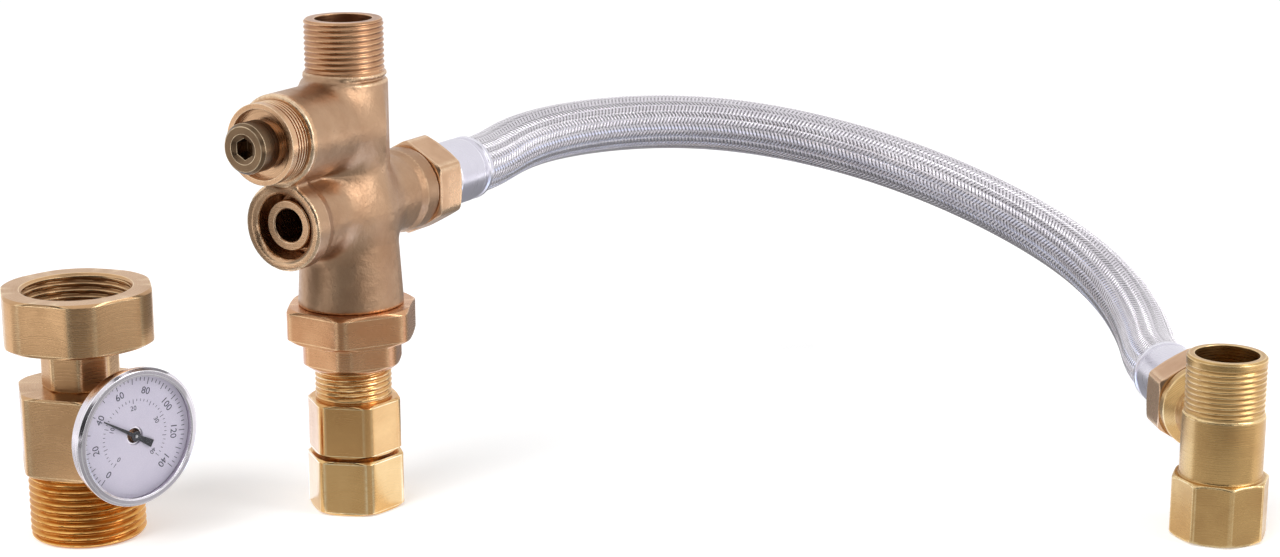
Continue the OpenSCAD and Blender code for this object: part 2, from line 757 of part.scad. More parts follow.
module inlet_adapter() {
    corner_d = adapter_af * 1.105;
    color("#cfa063") difference() {
        union() {
            translate([0, 0, flange_z]) cylinder(h = flange_h, d = flange_d);
            translate([0, 0, flange_z]) cylinder(h = adapter_z - flange_z + 1, d = tail_d);
            translate([0, 0, adapter_z]) rotate(adapter_turn) turned_prism(6, adapter_af, corner_d, adapter_hex_h, turn);
            translate([0, 0, adapter_top - 1])
                cylinder(h = adapter_tip - adapter_top + 1, d = pipe_d - 2 * thread_depth);
            translate([0, 0, adapter_top]) thread(adapter_thread_d, pipe_pitch, adapter_show - 0.1);
        }
        translate([0, 0, flange_z - over])
            cylinder(h = adapter_tip - flange_z + 2 * over, d = adapter_bore_d);
    }
}

module inlet_gasket() {
    color("#2a2a2a") translate([0, 0, gasket_z])
        tube(flange_d, adapter_bore_d, gasket_h);
}

module inlet_swivel_nut() {
    color("#d6a95c") difference() {
        rotate(adapter_turn) turned_prism(6, swivel_af, swivel_af * 1.115, swivel_h, turn);
        translate([0, 0, -over]) cylinder(h = lip_z, d = socket_d);
        translate([0, 0, gasket_z - 0.3]) cylinder(h = lip_z - gasket_z + 0.3, d = socket_d + 0.8);
        translate([0, 0, -over]) cylinder(h = swivel_h + 2 * over, d = tail_d + 2 * run_gap);
    }
}

// ---- Hose ----

module on_valve_boss() { at_port([0, 0, cross_z], port_angle) translate([0, 0, hose_boss_l]) children(); }
module on_tee_boss() { at_port([tee_x, tee_y, tee_port_z], tee_angle) translate([0, 0, tee_boss_l]) children(); }

module hose_nut() {
    hex_l = hose_nut_l - 4;
    corner_d = hose_nut_af * 1.13;
    lip_bore = insert_d + 2 * run_gap;
    color("#b58a62") translate([0, 0, nut_start]) difference() {
        union() {
            turned_prism(6, hose_nut_af, corner_d, hex_l, turn);
            translate([0, 0, hex_l - 1]) cylinder(h = hose_nut_l - hex_l + 1, d1 = hose_nut_af - 2, d2 = ferrule_d);
        }
        translate([0, 0, -over]) cylinder(h = hose_nut_l - nut_lip + over, d = nut_bore_d);
        cylinder(h = hose_nut_l + over, d = lip_bore);
    }
}

module hose_washer() {
    color("#2a2a2a") translate([0, 0, nipple_l]) tube(insert_flange_d, nipple_bore_d, washer_h);
}

module hose_insert() {
    tail_l = hose_mouth - insert_z;
    color("#c9a25e") translate([0, 0, insert_z]) difference() {
        union() {
            cylinder(h = insert_flange_h, d = insert_flange_d);
            cylinder(h = tail_l, d = insert_d);
        }
        translate([0, 0, -over]) cylinder(h = tail_l + 2 * over, d = insert_bore_d);
        for (i = [0:barbs - 1])
            translate([0, 0, tail_l - 4 - 3.6 * i]) tube(insert_d + 2, insert_d - 0.8, 1);
    }
}

module hose_ferrule() {
    groove_w = 2;
    lip_l = 2.4;
    color("#d7d2e1") translate([0, 0, ferrule_z]) difference() {
        union() {
            cylinder(h = ferrule_l - 0.6, d = ferrule_d);
            translate([0, 0, ferrule_l - 0.6]) cylinder(h = 0.6, d1 = ferrule_d, d2 = ferrule_d - 0.8);
        }
        translate([0, 0, ferrule_end]) cylinder(h = ferrule_l, d = hose_d + 2 * seat_gap);
        translate([0, 0, -over]) cylinder(h = ferrule_l, d = insert_d + 2 * seat_gap);
        translate([0, 0, ferrule_l - lip_l - groove_w]) tube(ferrule_d + 2, ferrule_d - 1, groove_w);
    }
}

module valve_end_nut() { on_valve_boss() hose_nut(); }
module valve_end_insert() { on_valve_boss() hose_insert(); }
module valve_end_washer() { on_valve_boss() hose_washer(); }
module valve_end_ferrule() { on_valve_boss() hose_ferrule(); }
module tee_end_nut() { on_tee_boss() hose_nut(); }
module tee_end_insert() { on_tee_boss() hose_insert(); }
module tee_end_washer() { on_tee_boss() hose_washer(); }
module tee_end_ferrule() { on_tee_boss() hose_ferrule(); }

module hose_braid() {
    color("#b9b4be") swept_tube(hose_line, hose_d / 2, hose_d / 2 - braid_wall, tube_sides);
}

module hose_liner() {
    outer_r = hose_d / 2 - braid_wall - seat_gap * 2;
    color("#3a3a3c") swept_tube(hose_line, outer_r, outer_r - liner_wall, tube_sides);
}

// ---- Tee ----

// Boss and nipple of the tee's side port, kept clear of the thread above
module tee_port_boss() {
    neck_d = hose_boss_d - 6;
    difference() {
        at_port([tee_x, tee_y, tee_port_z], tee_angle) {
            cylinder(h = tee_boss_l, d = neck_d);
            translate([0, 0, tee_boss_l - 2 * flare_l]) cylinder(h = flare_l, d1 = neck_d, d2 = hose_boss_d);
            translate([0, 0, tee_boss_l - flare_l]) cylinder(h = flare_l, d = hose_boss_d);
            translate([0, 0, tee_boss_l]) cylinder(h = nipple_l, d = nipple_d);
        }
        translate([tee_x, tee_y, tee_body_z]) cylinder(h = tee_thread_l, d = pipe_d + 2.4);
    }
}

module tee_body() {
    color("#aa8250") difference() {
        union() {
            translate([tee_x, tee_y, 0]) {
                rotate(tee_foot_turn) turned_prism(8, tee_af, tee_af * 1.07, tee_foot_h, turn);
                cylinder(h = tee_body_z, d = tee_body_d);
                translate([0, 0, tee_body_z]) thread(pipe_d, pipe_pitch, tee_thread_l);
            }
            tee_port_boss();
        }
        translate([tee_x, tee_y, 0]) {
            translate([0, 0, -over]) cylinder(h = tee_top + 2 * over, d = tee_bore_d);
            translate([0, 0, -over]) cylinder(h = tee_socket_l + over, d = socket_d);
        }
        at_port([tee_x, tee_y, tee_port_z], tee_angle)
            cylinder(h = tee_boss_l + nipple_l + over, d = nipple_bore_d);
    }
}

// ---- Thermometer adapter ----

module in_unit() { translate([unit_x, unit_y, 0]) children(); }
module in_dial() { at_port([unit_x, unit_y, dial_z], dial_angle) children(); }
module in_case() { in_dial() translate([0, 0, dial_back]) children(); }

module unit_body() {
    socket_l = neck_plug_l + 0.3;
    color("#af8c5f") difference() {
        in_unit() {
            rotate([180, 0, 0]) translate([0, 0, -unit_thread_l])
                thread(unit_thread_d, unit_pitch, unit_thread_l);
            translate([0, 0, unit_hex_z]) rotate(dial_angle + 30) turned_prism(6, unit_af, unit_af * 1.13, unit_hex_h, turn);
        }
        in_unit() {
            translate([0, 0, -over]) cylinder(h = neck_z + 2 * over, d = unit_bore_d);
            translate([0, 0, neck_z - socket_l]) cylinder(h = socket_l + over, d = neck_plug_d + 2 * seat_gap);
        }
        in_dial() translate([0, 0, unit_bore_d / 2 - 2]) cylinder(h = unit_af, d = bush_thread_d + 2 * seat_gap);
    }
}

module unit_tailpiece() {
    color("#b89560") in_unit() difference() {
        union() {
            translate([0, 0, neck_z - neck_plug_l]) cylinder(h = neck_plug_l + 1, d = neck_plug_d);
            translate([0, 0, neck_z]) rotate(neck_turn) turned_prism(8, neck_af, neck_af * 1.07, neck_h, 0.6);
            translate([0, 0, neck_top - 1]) cylinder(h = tail_flange_z - neck_top + 2, d = neck_turned_d);
            translate([0, 0, tail_flange_z]) cylinder(h = tail_flange_h, d = tail_flange_d);
        }
        translate([0, 0, neck_z - neck_plug_l - over])
            cylinder(h = tail_flange_z + tail_flange_h - neck_z + neck_plug_l + 2 * over, d = unit_bore_d);
    }
}

module union_nut() {
    color("#af8c5f") in_unit() translate([0, 0, union_z]) difference() {
        rotate(union_turn) turned_prism(6, union_af, union_af * 1.075, union_h, turn);
        translate([0, 0, union_lip]) cylinder(h = union_h, d = union_mouth_d);
        translate([0, 0, union_lip]) cylinder(h = union_relief_h, d = union_mouth_d + 1.2);
        translate([0, 0, -over]) cylinder(h = union_h, d = neck_turned_d + 2 * run_gap);
        translate([0, 0, union_h - 1]) cylinder(h = 1.01, d1 = union_mouth_d, d2 = union_mouth_d + 2);
    }
}

module union_gasket() {
    color("#2a2a2a") in_unit() translate([0, 0, tail_flange_z + tail_flange_h])
        tube(tail_flange_d, unit_bore_d + 2, union_gasket_h);
}

module thermometer_bush() {
    seat_l = unit_af / 2 + seat_gap;
    thread_l = unit_bore_d / 2 + 1;
    collar = 1.2;
    color("#c9a66a") in_dial() difference() {
        union() {
            translate([0, 0, thread_l]) cylinder(h = seat_l - thread_l + 1, d = bush_thread_d);
            translate([0, 0, seat_l]) cylinder(h = collar + 0.2, d = bush_af - 1);
            translate([0, 0, seat_l + collar])
                cylinder(h = dial_back - seat_l - collar - seat_gap, d = bush_af / cos(30), $fn = 6);
        }
        cylinder(h = dial_back + over, d = stem_tube_d + 2 * seat_gap);
    }
}

module thermometer_stem() {
    color("#c8c8cc") in_dial() translate([0, 0, -stem_reach]) difference() {
        cylinder(h = stem_reach + dial_back + face_l, d = stem_tube_d);
        translate([0, 0, stem_wall]) cylinder(h = stem_reach + dial_back + face_l, d = stem_tube_d - 2 * stem_wall);
    }
}

module thermometer_case() {
    color("#c8c8cc") in_case() difference() {
        union() {
            cylinder(h = 0.8, d1 = case_d - 1.6, d2 = case_d);
            translate([0, 0, 0.8]) cylinder(h = lens_l - 0.8 - seat_gap, d = case_d);
        }
        translate([0, 0, case_wall]) cylinder(h = case_depth, d = case_d - 2 * case_wall);
        translate([0, 0, -over]) cylinder(h = 3 * over, d = stem_tube_d + 2 * seat_gap);
    }
}

module thermometer_bezel() {
    rim = 3;
    color("#d4d4d8") in_case() translate([0, 0, case_depth - rim]) difference() {
        rotate_extrude() polygon([
            [case_d / 2 + seat_gap, 0], [dial_d / 2 - 0.5, 0], [dial_d / 2, 0.8],
            [dial_d / 2, rim - 1], [dial_d / 2 - 1, rim], [dial_d / 2 - 2.2, rim],
            [dial_d / 2 - 2.8, rim - 0.25], [case_d / 2 + seat_gap, rim - 0.3 - lens_t + 0.25]]);
        translate([0, 0, -over]) cylinder(h = over + lens_l - case_depth + rim + lens_t, d = case_d + 2 * seat_gap);
    }
}

module dial_face() {
    color("#eceaf2") in_case() translate([0, 0, face_l]) tube(face_d, stem_tube_d + 2 * seat_gap, face_t);
}

module dial_marks() {
    outer_r = face_d / 2 - 1.2;
    step = scale_sweep / marks;
    color("#40404a") in_case() translate([0, 0, face_l + face_t])
        for (i = [0:marks])
            rotate(scale_sweep / 2 - i * step + 180)
                translate([outer_r - (i % 4 == 0 ? 2.6 : 1.6), -0.16, 0])
                    cube([i % 4 == 0 ? 2.6 : 1.6, 0.32, mark_t]);
}

// The dial's own plane: +X local is down, so 0 degrees of the scale starts lower left
module pointer_frame() {
    in_case() rotate(180 + scale_sweep / 2 - pointer_at) children();
}

module dial_pointer() {
    color("#26262c") pointer_frame() translate([0, 0, pointer_l]) difference() {
        union() {
            linear_extrude(pointer_t) polygon([
                [0, -0.7], [pointer_r, -0.2], [pointer_r, 0.2], [0, 0.7],
                [-tail_r, 1.3], [-tail_r, -1.3]]);
            cylinder(h = pointer_t, d = 3.4);
        }
        translate([0, 0, -over]) cylinder(h = pointer_t + 2 * over, d = shaft_d + 2 * seat_gap);
    }
}

module pointer_shaft() {
    color("#b0b0b0") in_dial() translate([0, 0, -stem_reach + 2])
        cylinder(h = dial_back + stem_reach - 2 + pointer_l + pointer_t + 0.2, d = shaft_d);
}

module bimetal_coil() {
    color("#b08050") in_dial() translate([0, 0, -stem_reach + 1]) coil(3.2, 0.6, 14, 9);
}

module dial_lens() {
    color([0.9, 0.95, 1, 0.35]) in_case() translate([0, 0, lens_l]) cylinder(h = lens_t, d = case_d - 0.4);
}

valve_body();
adjuster_bonnet();
adjuster_seal();
adjuster_spindle();
spindle_clip();
spindle_seals();
element_carrier();
thermostat_element();
mixing_shuttle();
return_spring();
port_insert();
cold_check_housing();
cold_check_poppet();
cold_check_spring();
cold_strainer();
inlet_bonnet();
bonnet_seal();
hot_check_housing();
hot_check_poppet();
hot_check_spring();
hot_check_ring();
inlet_adapter();
inlet_gasket();
inlet_swivel_nut();
hose_braid();
hose_liner();
valve_end_nut();
valve_end_insert();
valve_end_washer();
valve_end_ferrule();
tee_end_nut();
tee_end_insert();
tee_end_washer();
tee_end_ferrule();
tee_body();
unit_body();
unit_tailpiece();
union_nut();
union_gasket();
thermometer_bush();
thermometer_stem();
thermometer_case();
thermometer_bezel();
dial_face();
dial_marks();
dial_pointer();
pointer_shaft();
bimetal_coil();
dial_lens();
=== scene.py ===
"""Looks of the brass mixing valve, its braided hose and tee, and the thermometer adapter."""
import json
import math
from itertools import product

import bmesh
import bpy
import numpy as np
from mathutils import Matrix, Vector


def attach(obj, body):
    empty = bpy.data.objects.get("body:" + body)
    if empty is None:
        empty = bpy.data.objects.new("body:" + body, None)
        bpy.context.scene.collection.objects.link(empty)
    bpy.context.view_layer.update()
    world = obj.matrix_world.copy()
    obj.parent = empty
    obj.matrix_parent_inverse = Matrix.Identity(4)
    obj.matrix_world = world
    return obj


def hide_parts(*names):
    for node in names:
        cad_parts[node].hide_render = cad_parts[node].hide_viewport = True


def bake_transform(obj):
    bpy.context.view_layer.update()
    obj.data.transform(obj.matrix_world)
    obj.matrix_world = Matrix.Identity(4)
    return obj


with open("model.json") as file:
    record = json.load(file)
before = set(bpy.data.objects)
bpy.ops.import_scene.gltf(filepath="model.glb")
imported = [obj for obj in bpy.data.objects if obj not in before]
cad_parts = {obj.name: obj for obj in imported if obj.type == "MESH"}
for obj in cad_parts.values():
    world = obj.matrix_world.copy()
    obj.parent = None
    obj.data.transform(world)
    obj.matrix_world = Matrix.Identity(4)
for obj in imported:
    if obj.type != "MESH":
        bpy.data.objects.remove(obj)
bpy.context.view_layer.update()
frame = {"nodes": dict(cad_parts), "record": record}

MM = 0.001

# ---- Sizes, in millimetres, as the solids have them ----

PIPE_R, PIPE_PITCH, PIPE_DEPTH = 13.2, 1.814, 0.5
SOCKET_R, SOCKET_DEPTH = 12.05, -0.8
UNION_PITCH = 2.309
BORE_R, HOSE_BORE_R, HOSE_TAIL_R, UNIT_BORE_R = 8.95, 7.5, 7.25, 8.5
CROSS_Z, CARTRIDGE_Z, CROWN_Z, OUTLET_Z = 104.5, 133.5, 150.5, 168.0
SKIRT_Z, BONNET_Z, COLLAR_Z = 71.2, 59.6, 49.7
ADAPTER_Z, ADAPTER_TOP = 20.1, 38.5
PORT_ANGLE, SIDE_ANGLE = 60.0, 240.0
HOSE_BOSS_L, SIDE_PORT_L, CARTRIDGE_BOSS_L = 33.0, 36.0, 38.0
RIB_PITCH = 1.333
TEE_X, TEE_Y, TEE_ANGLE, TEE_PORT_Z, TEE_BOSS_L = 290.0, -31.0, 97.0, 37.5, 23.0
TEE_FOOT_H, TEE_BODY_Z, TEE_TOP = 20.7, 42.5, 62.0
BONNET_TURN, ADAPTER_TURN, TEE_FOOT_TURN, NECK_TURN, UNION_TURN = 27, -8, 2, 11, 105
UNIT_HEX_Z, NECK_Z, UNION_Z, UNION_TOP = 23.5, 51.0, 66.0, 84.0
UNIT_X, UNIT_Y, DIAL_Z, DIAL_ANGLE, DIAL_BACK = -86.5, -28.0, 39.5, -44.5, 25.2
DIAL_FACE, DIAL_SWEEP, PRINT_H, TYPE_SIZE = 4.03, 270, 0.06, 1.35
HOSE_R, FERRULE_Z = 10.25, 18.0
HOSE_Z, HOSE_MOUTH, HOSE_LEAD = 20.05, 39.0, 16.0
HOT_CHECK_Z = 64.0
HOSE_ROUTE = [(57, 101, 110), (123, 158, 106), (205, 169, 85), (272, 127, 57), (284, 74, 41)]
BRAID_CARRIERS, BRAID_TURNS, BRAID_WIRES = 48, 10.5, 5


def plan(angle):
    return np.array([math.cos(math.radians(angle)), math.sin(math.radians(angle)), 0.0])


def port(centre, angle):
    """Frame of a level port: its local Z runs outward along the plan direction."""
    return (Matrix.Translation(centre) @ Matrix.Rotation(math.radians(angle), 4, "Z")
            @ Matrix.Rotation(math.radians(90), 4, "Y"))


UPRIGHT = Matrix.Identity(4)
CARTRIDGE = port((0, 0, CARTRIDGE_Z), SIDE_ANGLE)
SIDE_PORT = port((0, 0, CROSS_Z), SIDE_ANGLE)
VALVE_BOSS = np.array([0, 0, CROSS_Z]) + HOSE_BOSS_L * plan(PORT_ANGLE)
TEE_BOSS = np.array([TEE_X, TEE_Y, TEE_PORT_Z]) + TEE_BOSS_L * plan(TEE_ANGLE)
VALVE_END = port(VALVE_BOSS, PORT_ANGLE)
TEE_END = port(TEE_BOSS, TEE_ANGLE)
TEE = Matrix.Translation((TEE_X, TEE_Y, 0))
UNIT = Matrix.Translation((UNIT_X, UNIT_Y, 0))
DIAL = port((UNIT_X, UNIT_Y, DIAL_Z), DIAL_ANGLE)
CASE = DIAL @ Matrix.Translation((0, 0, DIAL_BACK))


def new_object(name, data):
    made = bpy.data.objects.new(name, data)
    bpy.context.scene.collection.objects.link(made)
    return made


def new_mesh(name, points, edges=(), faces=(), material=None):
    mesh = bpy.data.meshes.new(name)
    mesh.from_pydata(points, edges, faces)
    if material:
        mesh.materials.append(material)
    return mesh


# ---- Camera ----

LENS, SENSOR = 73.125, 36
CAMERA_SPOT, CAMERA_TILT = (0.0976, -0.849, 0.299), 75.5


def hang_camera():
    data = bpy.data.cameras.new("camera")
    data.lens, data.sensor_width = LENS, SENSOR
    data.clip_start, data.clip_end = 0.05, 60
    camera = new_object("camera", data)
    camera.location = CAMERA_SPOT
    camera.rotation_euler = (math.radians(CAMERA_TILT), 0, 0)
    bpy.context.scene.camera = camera


# ---- Node tree helpers ----

class Value:
    """An output of a node: the first, or the one it is indexed by. Sums add nodes to its tree."""

    def __init__(self, node, output=0):
        self.node, self.output = node, output

    def __getitem__(self, output):
        return Value(self.node, output)

    def __add__(self, other):
        return calc("ADD", self, other)

    def __sub__(self, other):
        return calc("SUBTRACT", self, other)

    def __rsub__(self, other):
        return calc("SUBTRACT", other, self)

    def __mul__(self, other):
        return calc("MULTIPLY", self, other)

    def __truediv__(self, other):
        return calc("DIVIDE", self, other)

    def __rtruediv__(self, other):
        return calc("DIVIDE", other, self)


def fill(node, *values, **named):
    """Gives a node its inputs, in their order or by name, as in Base_Color. A Value is linked,
    None is left out, and anything else is set. A name in small letters is the node's own."""
    inputs = dict(enumerate(values))
    for key, value in named.items():
        if key.islower():
            setattr(node, key, value)
        else:
            inputs[key.replace("_", " ")] = value
    for key, value in inputs.items():
        if isinstance(value, Value):
            node.id_data.links.new(value.node.outputs[value.output], node.inputs[key])
        elif value is not None:
            node.inputs[key].default_value = value
    return Value(node)


def add(tree, kind, *values, **named):
    return fill(tree.nodes.new(kind), *values, **named)


def tree_of(*values):
    return next(v.node.id_data for v in values if isinstance(v, Value))


def calc(operation, *values):
    return add(tree_of(*values), "ShaderNodeMath", *values, operation=operation)


def vector(operation, *values):
    made = add(tree_of(*values), "ShaderNodeVectorMath", *values, operation=operation)
    return made[1] if operation in ("DOT_PRODUCT", "LENGTH") else made


def scaled(arrow, length):
    return add(tree_of(arrow), "ShaderNodeVectorMath", arrow, Scale=length, operation="SCALE")


def joined(x, y, z=0.0):
    return add(tree_of(x, y, z), "ShaderNodeCombineXYZ", x, y, z)


def ramp(value, low, high, to_low=0.0, to_high=1.0):
    return add(tree_of(value), "ShaderNodeMapRange", value, low, high, to_low, to_high)


def mix_colour(share, first, second):
    return add(tree_of(share), "ShaderNodeMix", share, *(None,) * 5, first, second,
               data_type="RGBA")[2]


def noise(place, scale, detail, roughness=0.5):
    return add(tree_of(place), "ShaderNodeTexNoise", Vector=place, Scale=scale, Detail=detail,
               Roughness=roughness)


def object_place(tree):
    return add(tree, "ShaderNodeTexCoord")["Object"]


def shader_mark(tree, name):
    return add(tree, "ShaderNodeAttribute", attribute_name=name)["Fac"]


def mesh_mark(tree, name):
    return add(tree, "GeometryNodeInputNamedAttribute", Name=name, data_type="FLOAT")


def marked(geometry, name, value):
    return add(tree_of(geometry), "GeometryNodeStoreNamedAttribute", Geometry=geometry,
               Name=name, Value=value, data_type="FLOAT", domain="POINT")


FLOAT, COLOUR = "NodeSocketFloat", "NodeSocketColor"
GEOMETRY, MATERIAL = "NodeSocketGeometry", "NodeSocketMaterial"
SOCKETS = {float: FLOAT, int: "NodeSocketInt", tuple: "NodeSocketVector"}


def new_group(name, kind, inputs, outputs):
    """A group whose inputs are given by their first values, or by their kinds of socket."""
    tree = bpy.data.node_groups.new(name, kind)
    for label, value in inputs.items():
        socket = SOCKETS.get(type(value), value)
        item = tree.interface.new_socket(name=label, in_out="INPUT", socket_type=socket)
        if type(value) in SOCKETS:
            item.default_value = value
    for label, socket in outputs.items():
        tree.interface.new_socket(name=label, in_out="OUTPUT", socket_type=socket)
    return tree, Value(tree.nodes.new("NodeGroupInput")), tree.nodes.new("NodeGroupOutput")


def geometry_group(name, inputs, build):
    """A geometry group that gives what build makes, real and with its material."""
    tree, start, end = new_group(
        name, "GeometryNodeTree", {"Geometry": GEOMETRY, **inputs, "Material": MATERIAL},
        {"Geometry": GEOMETRY})
    real = add(tree, "GeometryNodeRealizeInstances", build(tree, start))
    fill(end, add(tree, "GeometryNodeSetMaterial", Geometry=real, Material=start["Material"]))
    return tree


# ---- Shader groups ----

SURFACE = {"Colour": COLOUR, "Roughness": FLOAT, "Height": FLOAT}


def metal_surface_group():
    """Colour, roughness and height of worked metal: stains, cast skin, tool lines, and edge wear
    that also carries a painted highlight.
    """
    tree, start, end = new_group(
        "metal surface", "ShaderNodeTree",
        {"Colour": COLOUR, "Stain": COLOUR, "Rubbed": COLOUR, "Stain size": 0.02,
         "Stain amount": 0.5, "Roughness": 0.3, "Cast skin": 0.0, "Tool lines": 0.0,
         "Line pitch": 0.0003, "Axis": (0, 0, 1), "Centre": (0, 0, 0)}, SURFACE)
    place = object_place(tree)
    blotch = noise(place, 1.0 / start["Stain size"], 4.0, 0.6)
    scuff, dents = noise(place, 700.0, 2.0), noise(place, 260.0, 1.0)
    skin = noise(place, 1100.0, 3.0, 0.55)
    stained = ramp(blotch, 0.38, 0.68) * start["Stain amount"]
    # The edge mark takes the third colour: real edge wear, and a painted highlight along the edges.
    wear_and_highlight = shader_mark(tree, "edge") * ramp(scuff, 0.3, 0.6, 0.45, 0.9)
    offset = vector("SUBTRACT", place, start["Centre"])
    along = vector("DOT_PRODUCT", offset, start["Axis"])
    across = vector("LENGTH", vector("SUBTRACT", offset, scaled(start["Axis"], along)))
    lines = add(tree, "ShaderNodeTexNoise", W=(along + across) / start["Line pitch"], Scale=1.0,
                Detail=1.5, noise_dimensions="1D")
    tool = start["Tool lines"] * (lines - 0.5)
    colour = mix_colour(stained, start["Colour"], start["Stain"])
    rough = (start["Roughness"] + ramp(blotch, 0.3, 0.7, -0.05, 0.07)
             + start["Cast skin"] * ramp(skin, 0.3, 0.7, -0.04, 0.08)
             + tool * 0.35 - wear_and_highlight * 0.08)
    bumps = skin * 0.00010 + dents * 0.00018
    fill(end, Colour=mix_colour(wear_and_highlight, colour, start["Rubbed"]),
         Roughness=calc("MAXIMUM", rough, 0.08),
         Height=bumps * start["Cast skin"] + tool * 0.00003)
    return tree


def speckle_group():
    """Fine mottling for rubber, plastics and print."""
    tree, start, end = new_group(
        "fine mottling", "ShaderNodeTree",
        {"Colour": COLOUR, "Shade": COLOUR, "Grain size": 0.0004, "Roughness": 0.5,
         "Relief": 0.00002}, SURFACE)
    place = object_place(tree)
    fine, broad = noise(place, 1.0 / start["Grain size"], 3.0), noise(place, 70.0, 3.0)
    share = ramp(fine, 0.35, 0.7, 0.0, 0.5) + ramp(broad, 0.4, 0.7, 0.0, 0.5)
    fill(end, Colour=mix_colour(share, start["Colour"], start["Shade"]),
         Roughness=start["Roughness"] + ramp(fine, 0.3, 0.7, -0.06, 0.06),
         Height=fine * start["Relief"])
    return tree


METAL = metal_surface_group()
SPECKLE = speckle_group()


# ---- Materials ----

WHITE, COOL = (1, 1, 1, 1), (0.86, 1.0, 1.3, 1)


def tone(red, green, blue):
    """A colour given as it looks on a screen, 0 to 255."""
    return tuple((c / 255 / 12.92) if c <= 10 else ((c / 255 + 0.055) / 1.055) ** 2.4
                 for c in (red, green, blue)) + (1.0,)


def new_material(name):
    material = bpy.data.materials.new(name)
    material.use_nodes = True
    return material, material.node_tree, material.node_tree.nodes["Principled BSDF"]


def surfaced(name, group, roughness, tones, more):
    """A material whose colour, roughness and relief come from one of the groups."""
    material, tree, shader = new_material(name)
    labels = ("Colour", "Stain", "Rubbed") if group == METAL else ("Colour", "Shade")
    values = {label: tone(*colour) for label, colour in zip(labels, tones)}
    surface = add(tree, "ShaderNodeGroup", node_tree=group, Roughness=roughness, **values, **more)
    bump = add(tree, "ShaderNodeBump", Height=surface["Height"], Strength=1.0, Distance=1.0)
    fill(shader, Base_Color=surface["Colour"], Roughness=surface["Roughness"], Normal=bump,
         Metallic=1.0 if group == METAL else 0.0)
    return material


def lines_round(strength, centre=(0, 0, 0), axis=(0, 0, 1)):
    """Tool lines round an axis through a centre."""
    return {"Tool lines": strength, "Axis": tuple(axis), "Centre": tuple(MM * c for c in centre)}


def glass():
    material, tree, shader = new_material("lens_glass")
    smear = noise(object_place(tree), 120.0, 3.0)
    fill(shader, Roughness=ramp(smear, 0.3, 0.8, 0.0, 0.06), Base_Color=WHITE,
         Transmission_Weight=1.0, IOR=1.1)
    return material


def wire_material():
    """Stainless ribbon of the braid: each ribbon is a row of round wires, with painted shade in the
    grooves between the wires and along the ribbon's edges.
    """
    material, tree, shader = new_material("braid_wire")
    across = shader_mark(tree, "across")
    round_wire = calc("ABSOLUTE", calc("SINE", across * (math.pi * BRAID_WIRES)))
    grime = noise(object_place(tree), 90.0, 3.0)
    # Painted shade in the grooves between the round wires.
    valley_shade = ramp(round_wire, 0.0, 0.55, 0.75, 0.0)
    # Painted shade along the ribbon's sloped edges, between the ribbons.
    edge = ramp(calc("ABSOLUTE", across), 0.33, 0.46, 0.0, 0.7)
    colour = mix_colour(ramp(grime, 0.4, 0.7, 0.0, 0.35), tone(240, 236, 242), tone(212, 207, 215))
    colour = mix_colour(valley_shade, colour, tone(112, 109, 118))
    fill(shader, Base_Color=mix_colour(edge, colour, tone(62, 60, 68)), Metallic=1.0,
         Roughness=ramp(grime, 0.3, 0.7, 0.17, 0.27),
         Normal=add(tree, "ShaderNodeBump", Height=round_wire * 0.00006, Distance=1.0))
    return material


UPPER_PORT = (0, 0, CARTRIDGE_Z), plan(SIDE_ANGLE)
HOSE_PORT = VALVE_BOSS, plan(PORT_ANGLE)
# Each metal: name, roughness, its colour, stain and edge colour, and more settings. The edge colour
# is edge wear and a painted highlight.
METALS = (
    ("cast_brass", 0.34, ((187, 152, 122), (153, 114, 84), (230, 196, 160)),
     {"Cast skin": 1.0, "Stain amount": 0.55, "Stain size": 0.016}),
    ("machined_brass", 0.28, ((218, 177, 140), (162, 124, 92), (244, 216, 182)),
     lines_round(1.0, *UPPER_PORT)),
    # A darker brass for the adjusting spindle: partly tarnish, partly painted shade on the cap's
    # flank and in its socket.
    ("patina_brass", 0.3, ((140, 114, 88), (80, 64, 50), (222, 198, 166)),
     {**lines_round(0.8, *UPPER_PORT), "Stain amount": 0.7}),
    ("thread_brass", 0.3, ((192, 146, 110), (150, 102, 70), (226, 184, 142)),
     {**lines_round(0.6), "Stain amount": 0.7}),
    ("bonnet_brass", 0.27, ((214, 164, 122), (184, 124, 82), (246, 208, 164)),
     {**lines_round(0.5), "Stain amount": 0.6, "Cast skin": 0.25}),
    ("nut_brass", 0.2, ((226, 184, 124), (196, 146, 84), (255, 236, 194)),
     {**lines_round(0.8), "Stain amount": 0.4}),
    ("adapter_brass", 0.2, ((220, 172, 112), (186, 130, 76), (255, 230, 180)),
     {**lines_round(0.8), "Stain amount": 0.4}),
    ("hose_nut_brass", 0.3, ((212, 174, 140), (170, 126, 92), (240, 210, 176)),
     {**lines_round(0.4, *HOSE_PORT), "Cast skin": 0.3}),
    ("tee_brass", 0.28, ((204, 166, 110), (164, 122, 76), (242, 214, 162)),
     lines_round(0.9, (TEE_X, TEE_Y, 0))),
    ("union_brass", 0.28, ((206, 165, 122), (172, 130, 90), (242, 212, 168)),
     lines_round(0.7, (UNIT_X, UNIT_Y, 0))),
    ("union_thread", 0.26, ((214, 150, 74), (172, 110, 50), (246, 202, 126)),
     lines_round(0.7, (UNIT_X, UNIT_Y, 0))),
    ("ferrule_steel", 0.3, ((222, 219, 230), (190, 186, 200), (245, 244, 250)),
     {**lines_round(0.5, *HOSE_PORT), "Stain amount": 0.3}),
    ("spring_steel", 0.28, ((190, 190, 194), (150, 150, 156), (226, 226, 230)), {}),
    ("bezel_steel", 0.18, ((232, 226, 234), (198, 192, 202), (250, 248, 252)),
     lines_round(0.6, (UNIT_X, UNIT_Y, DIAL_Z), plan(DIAL_ANGLE))))
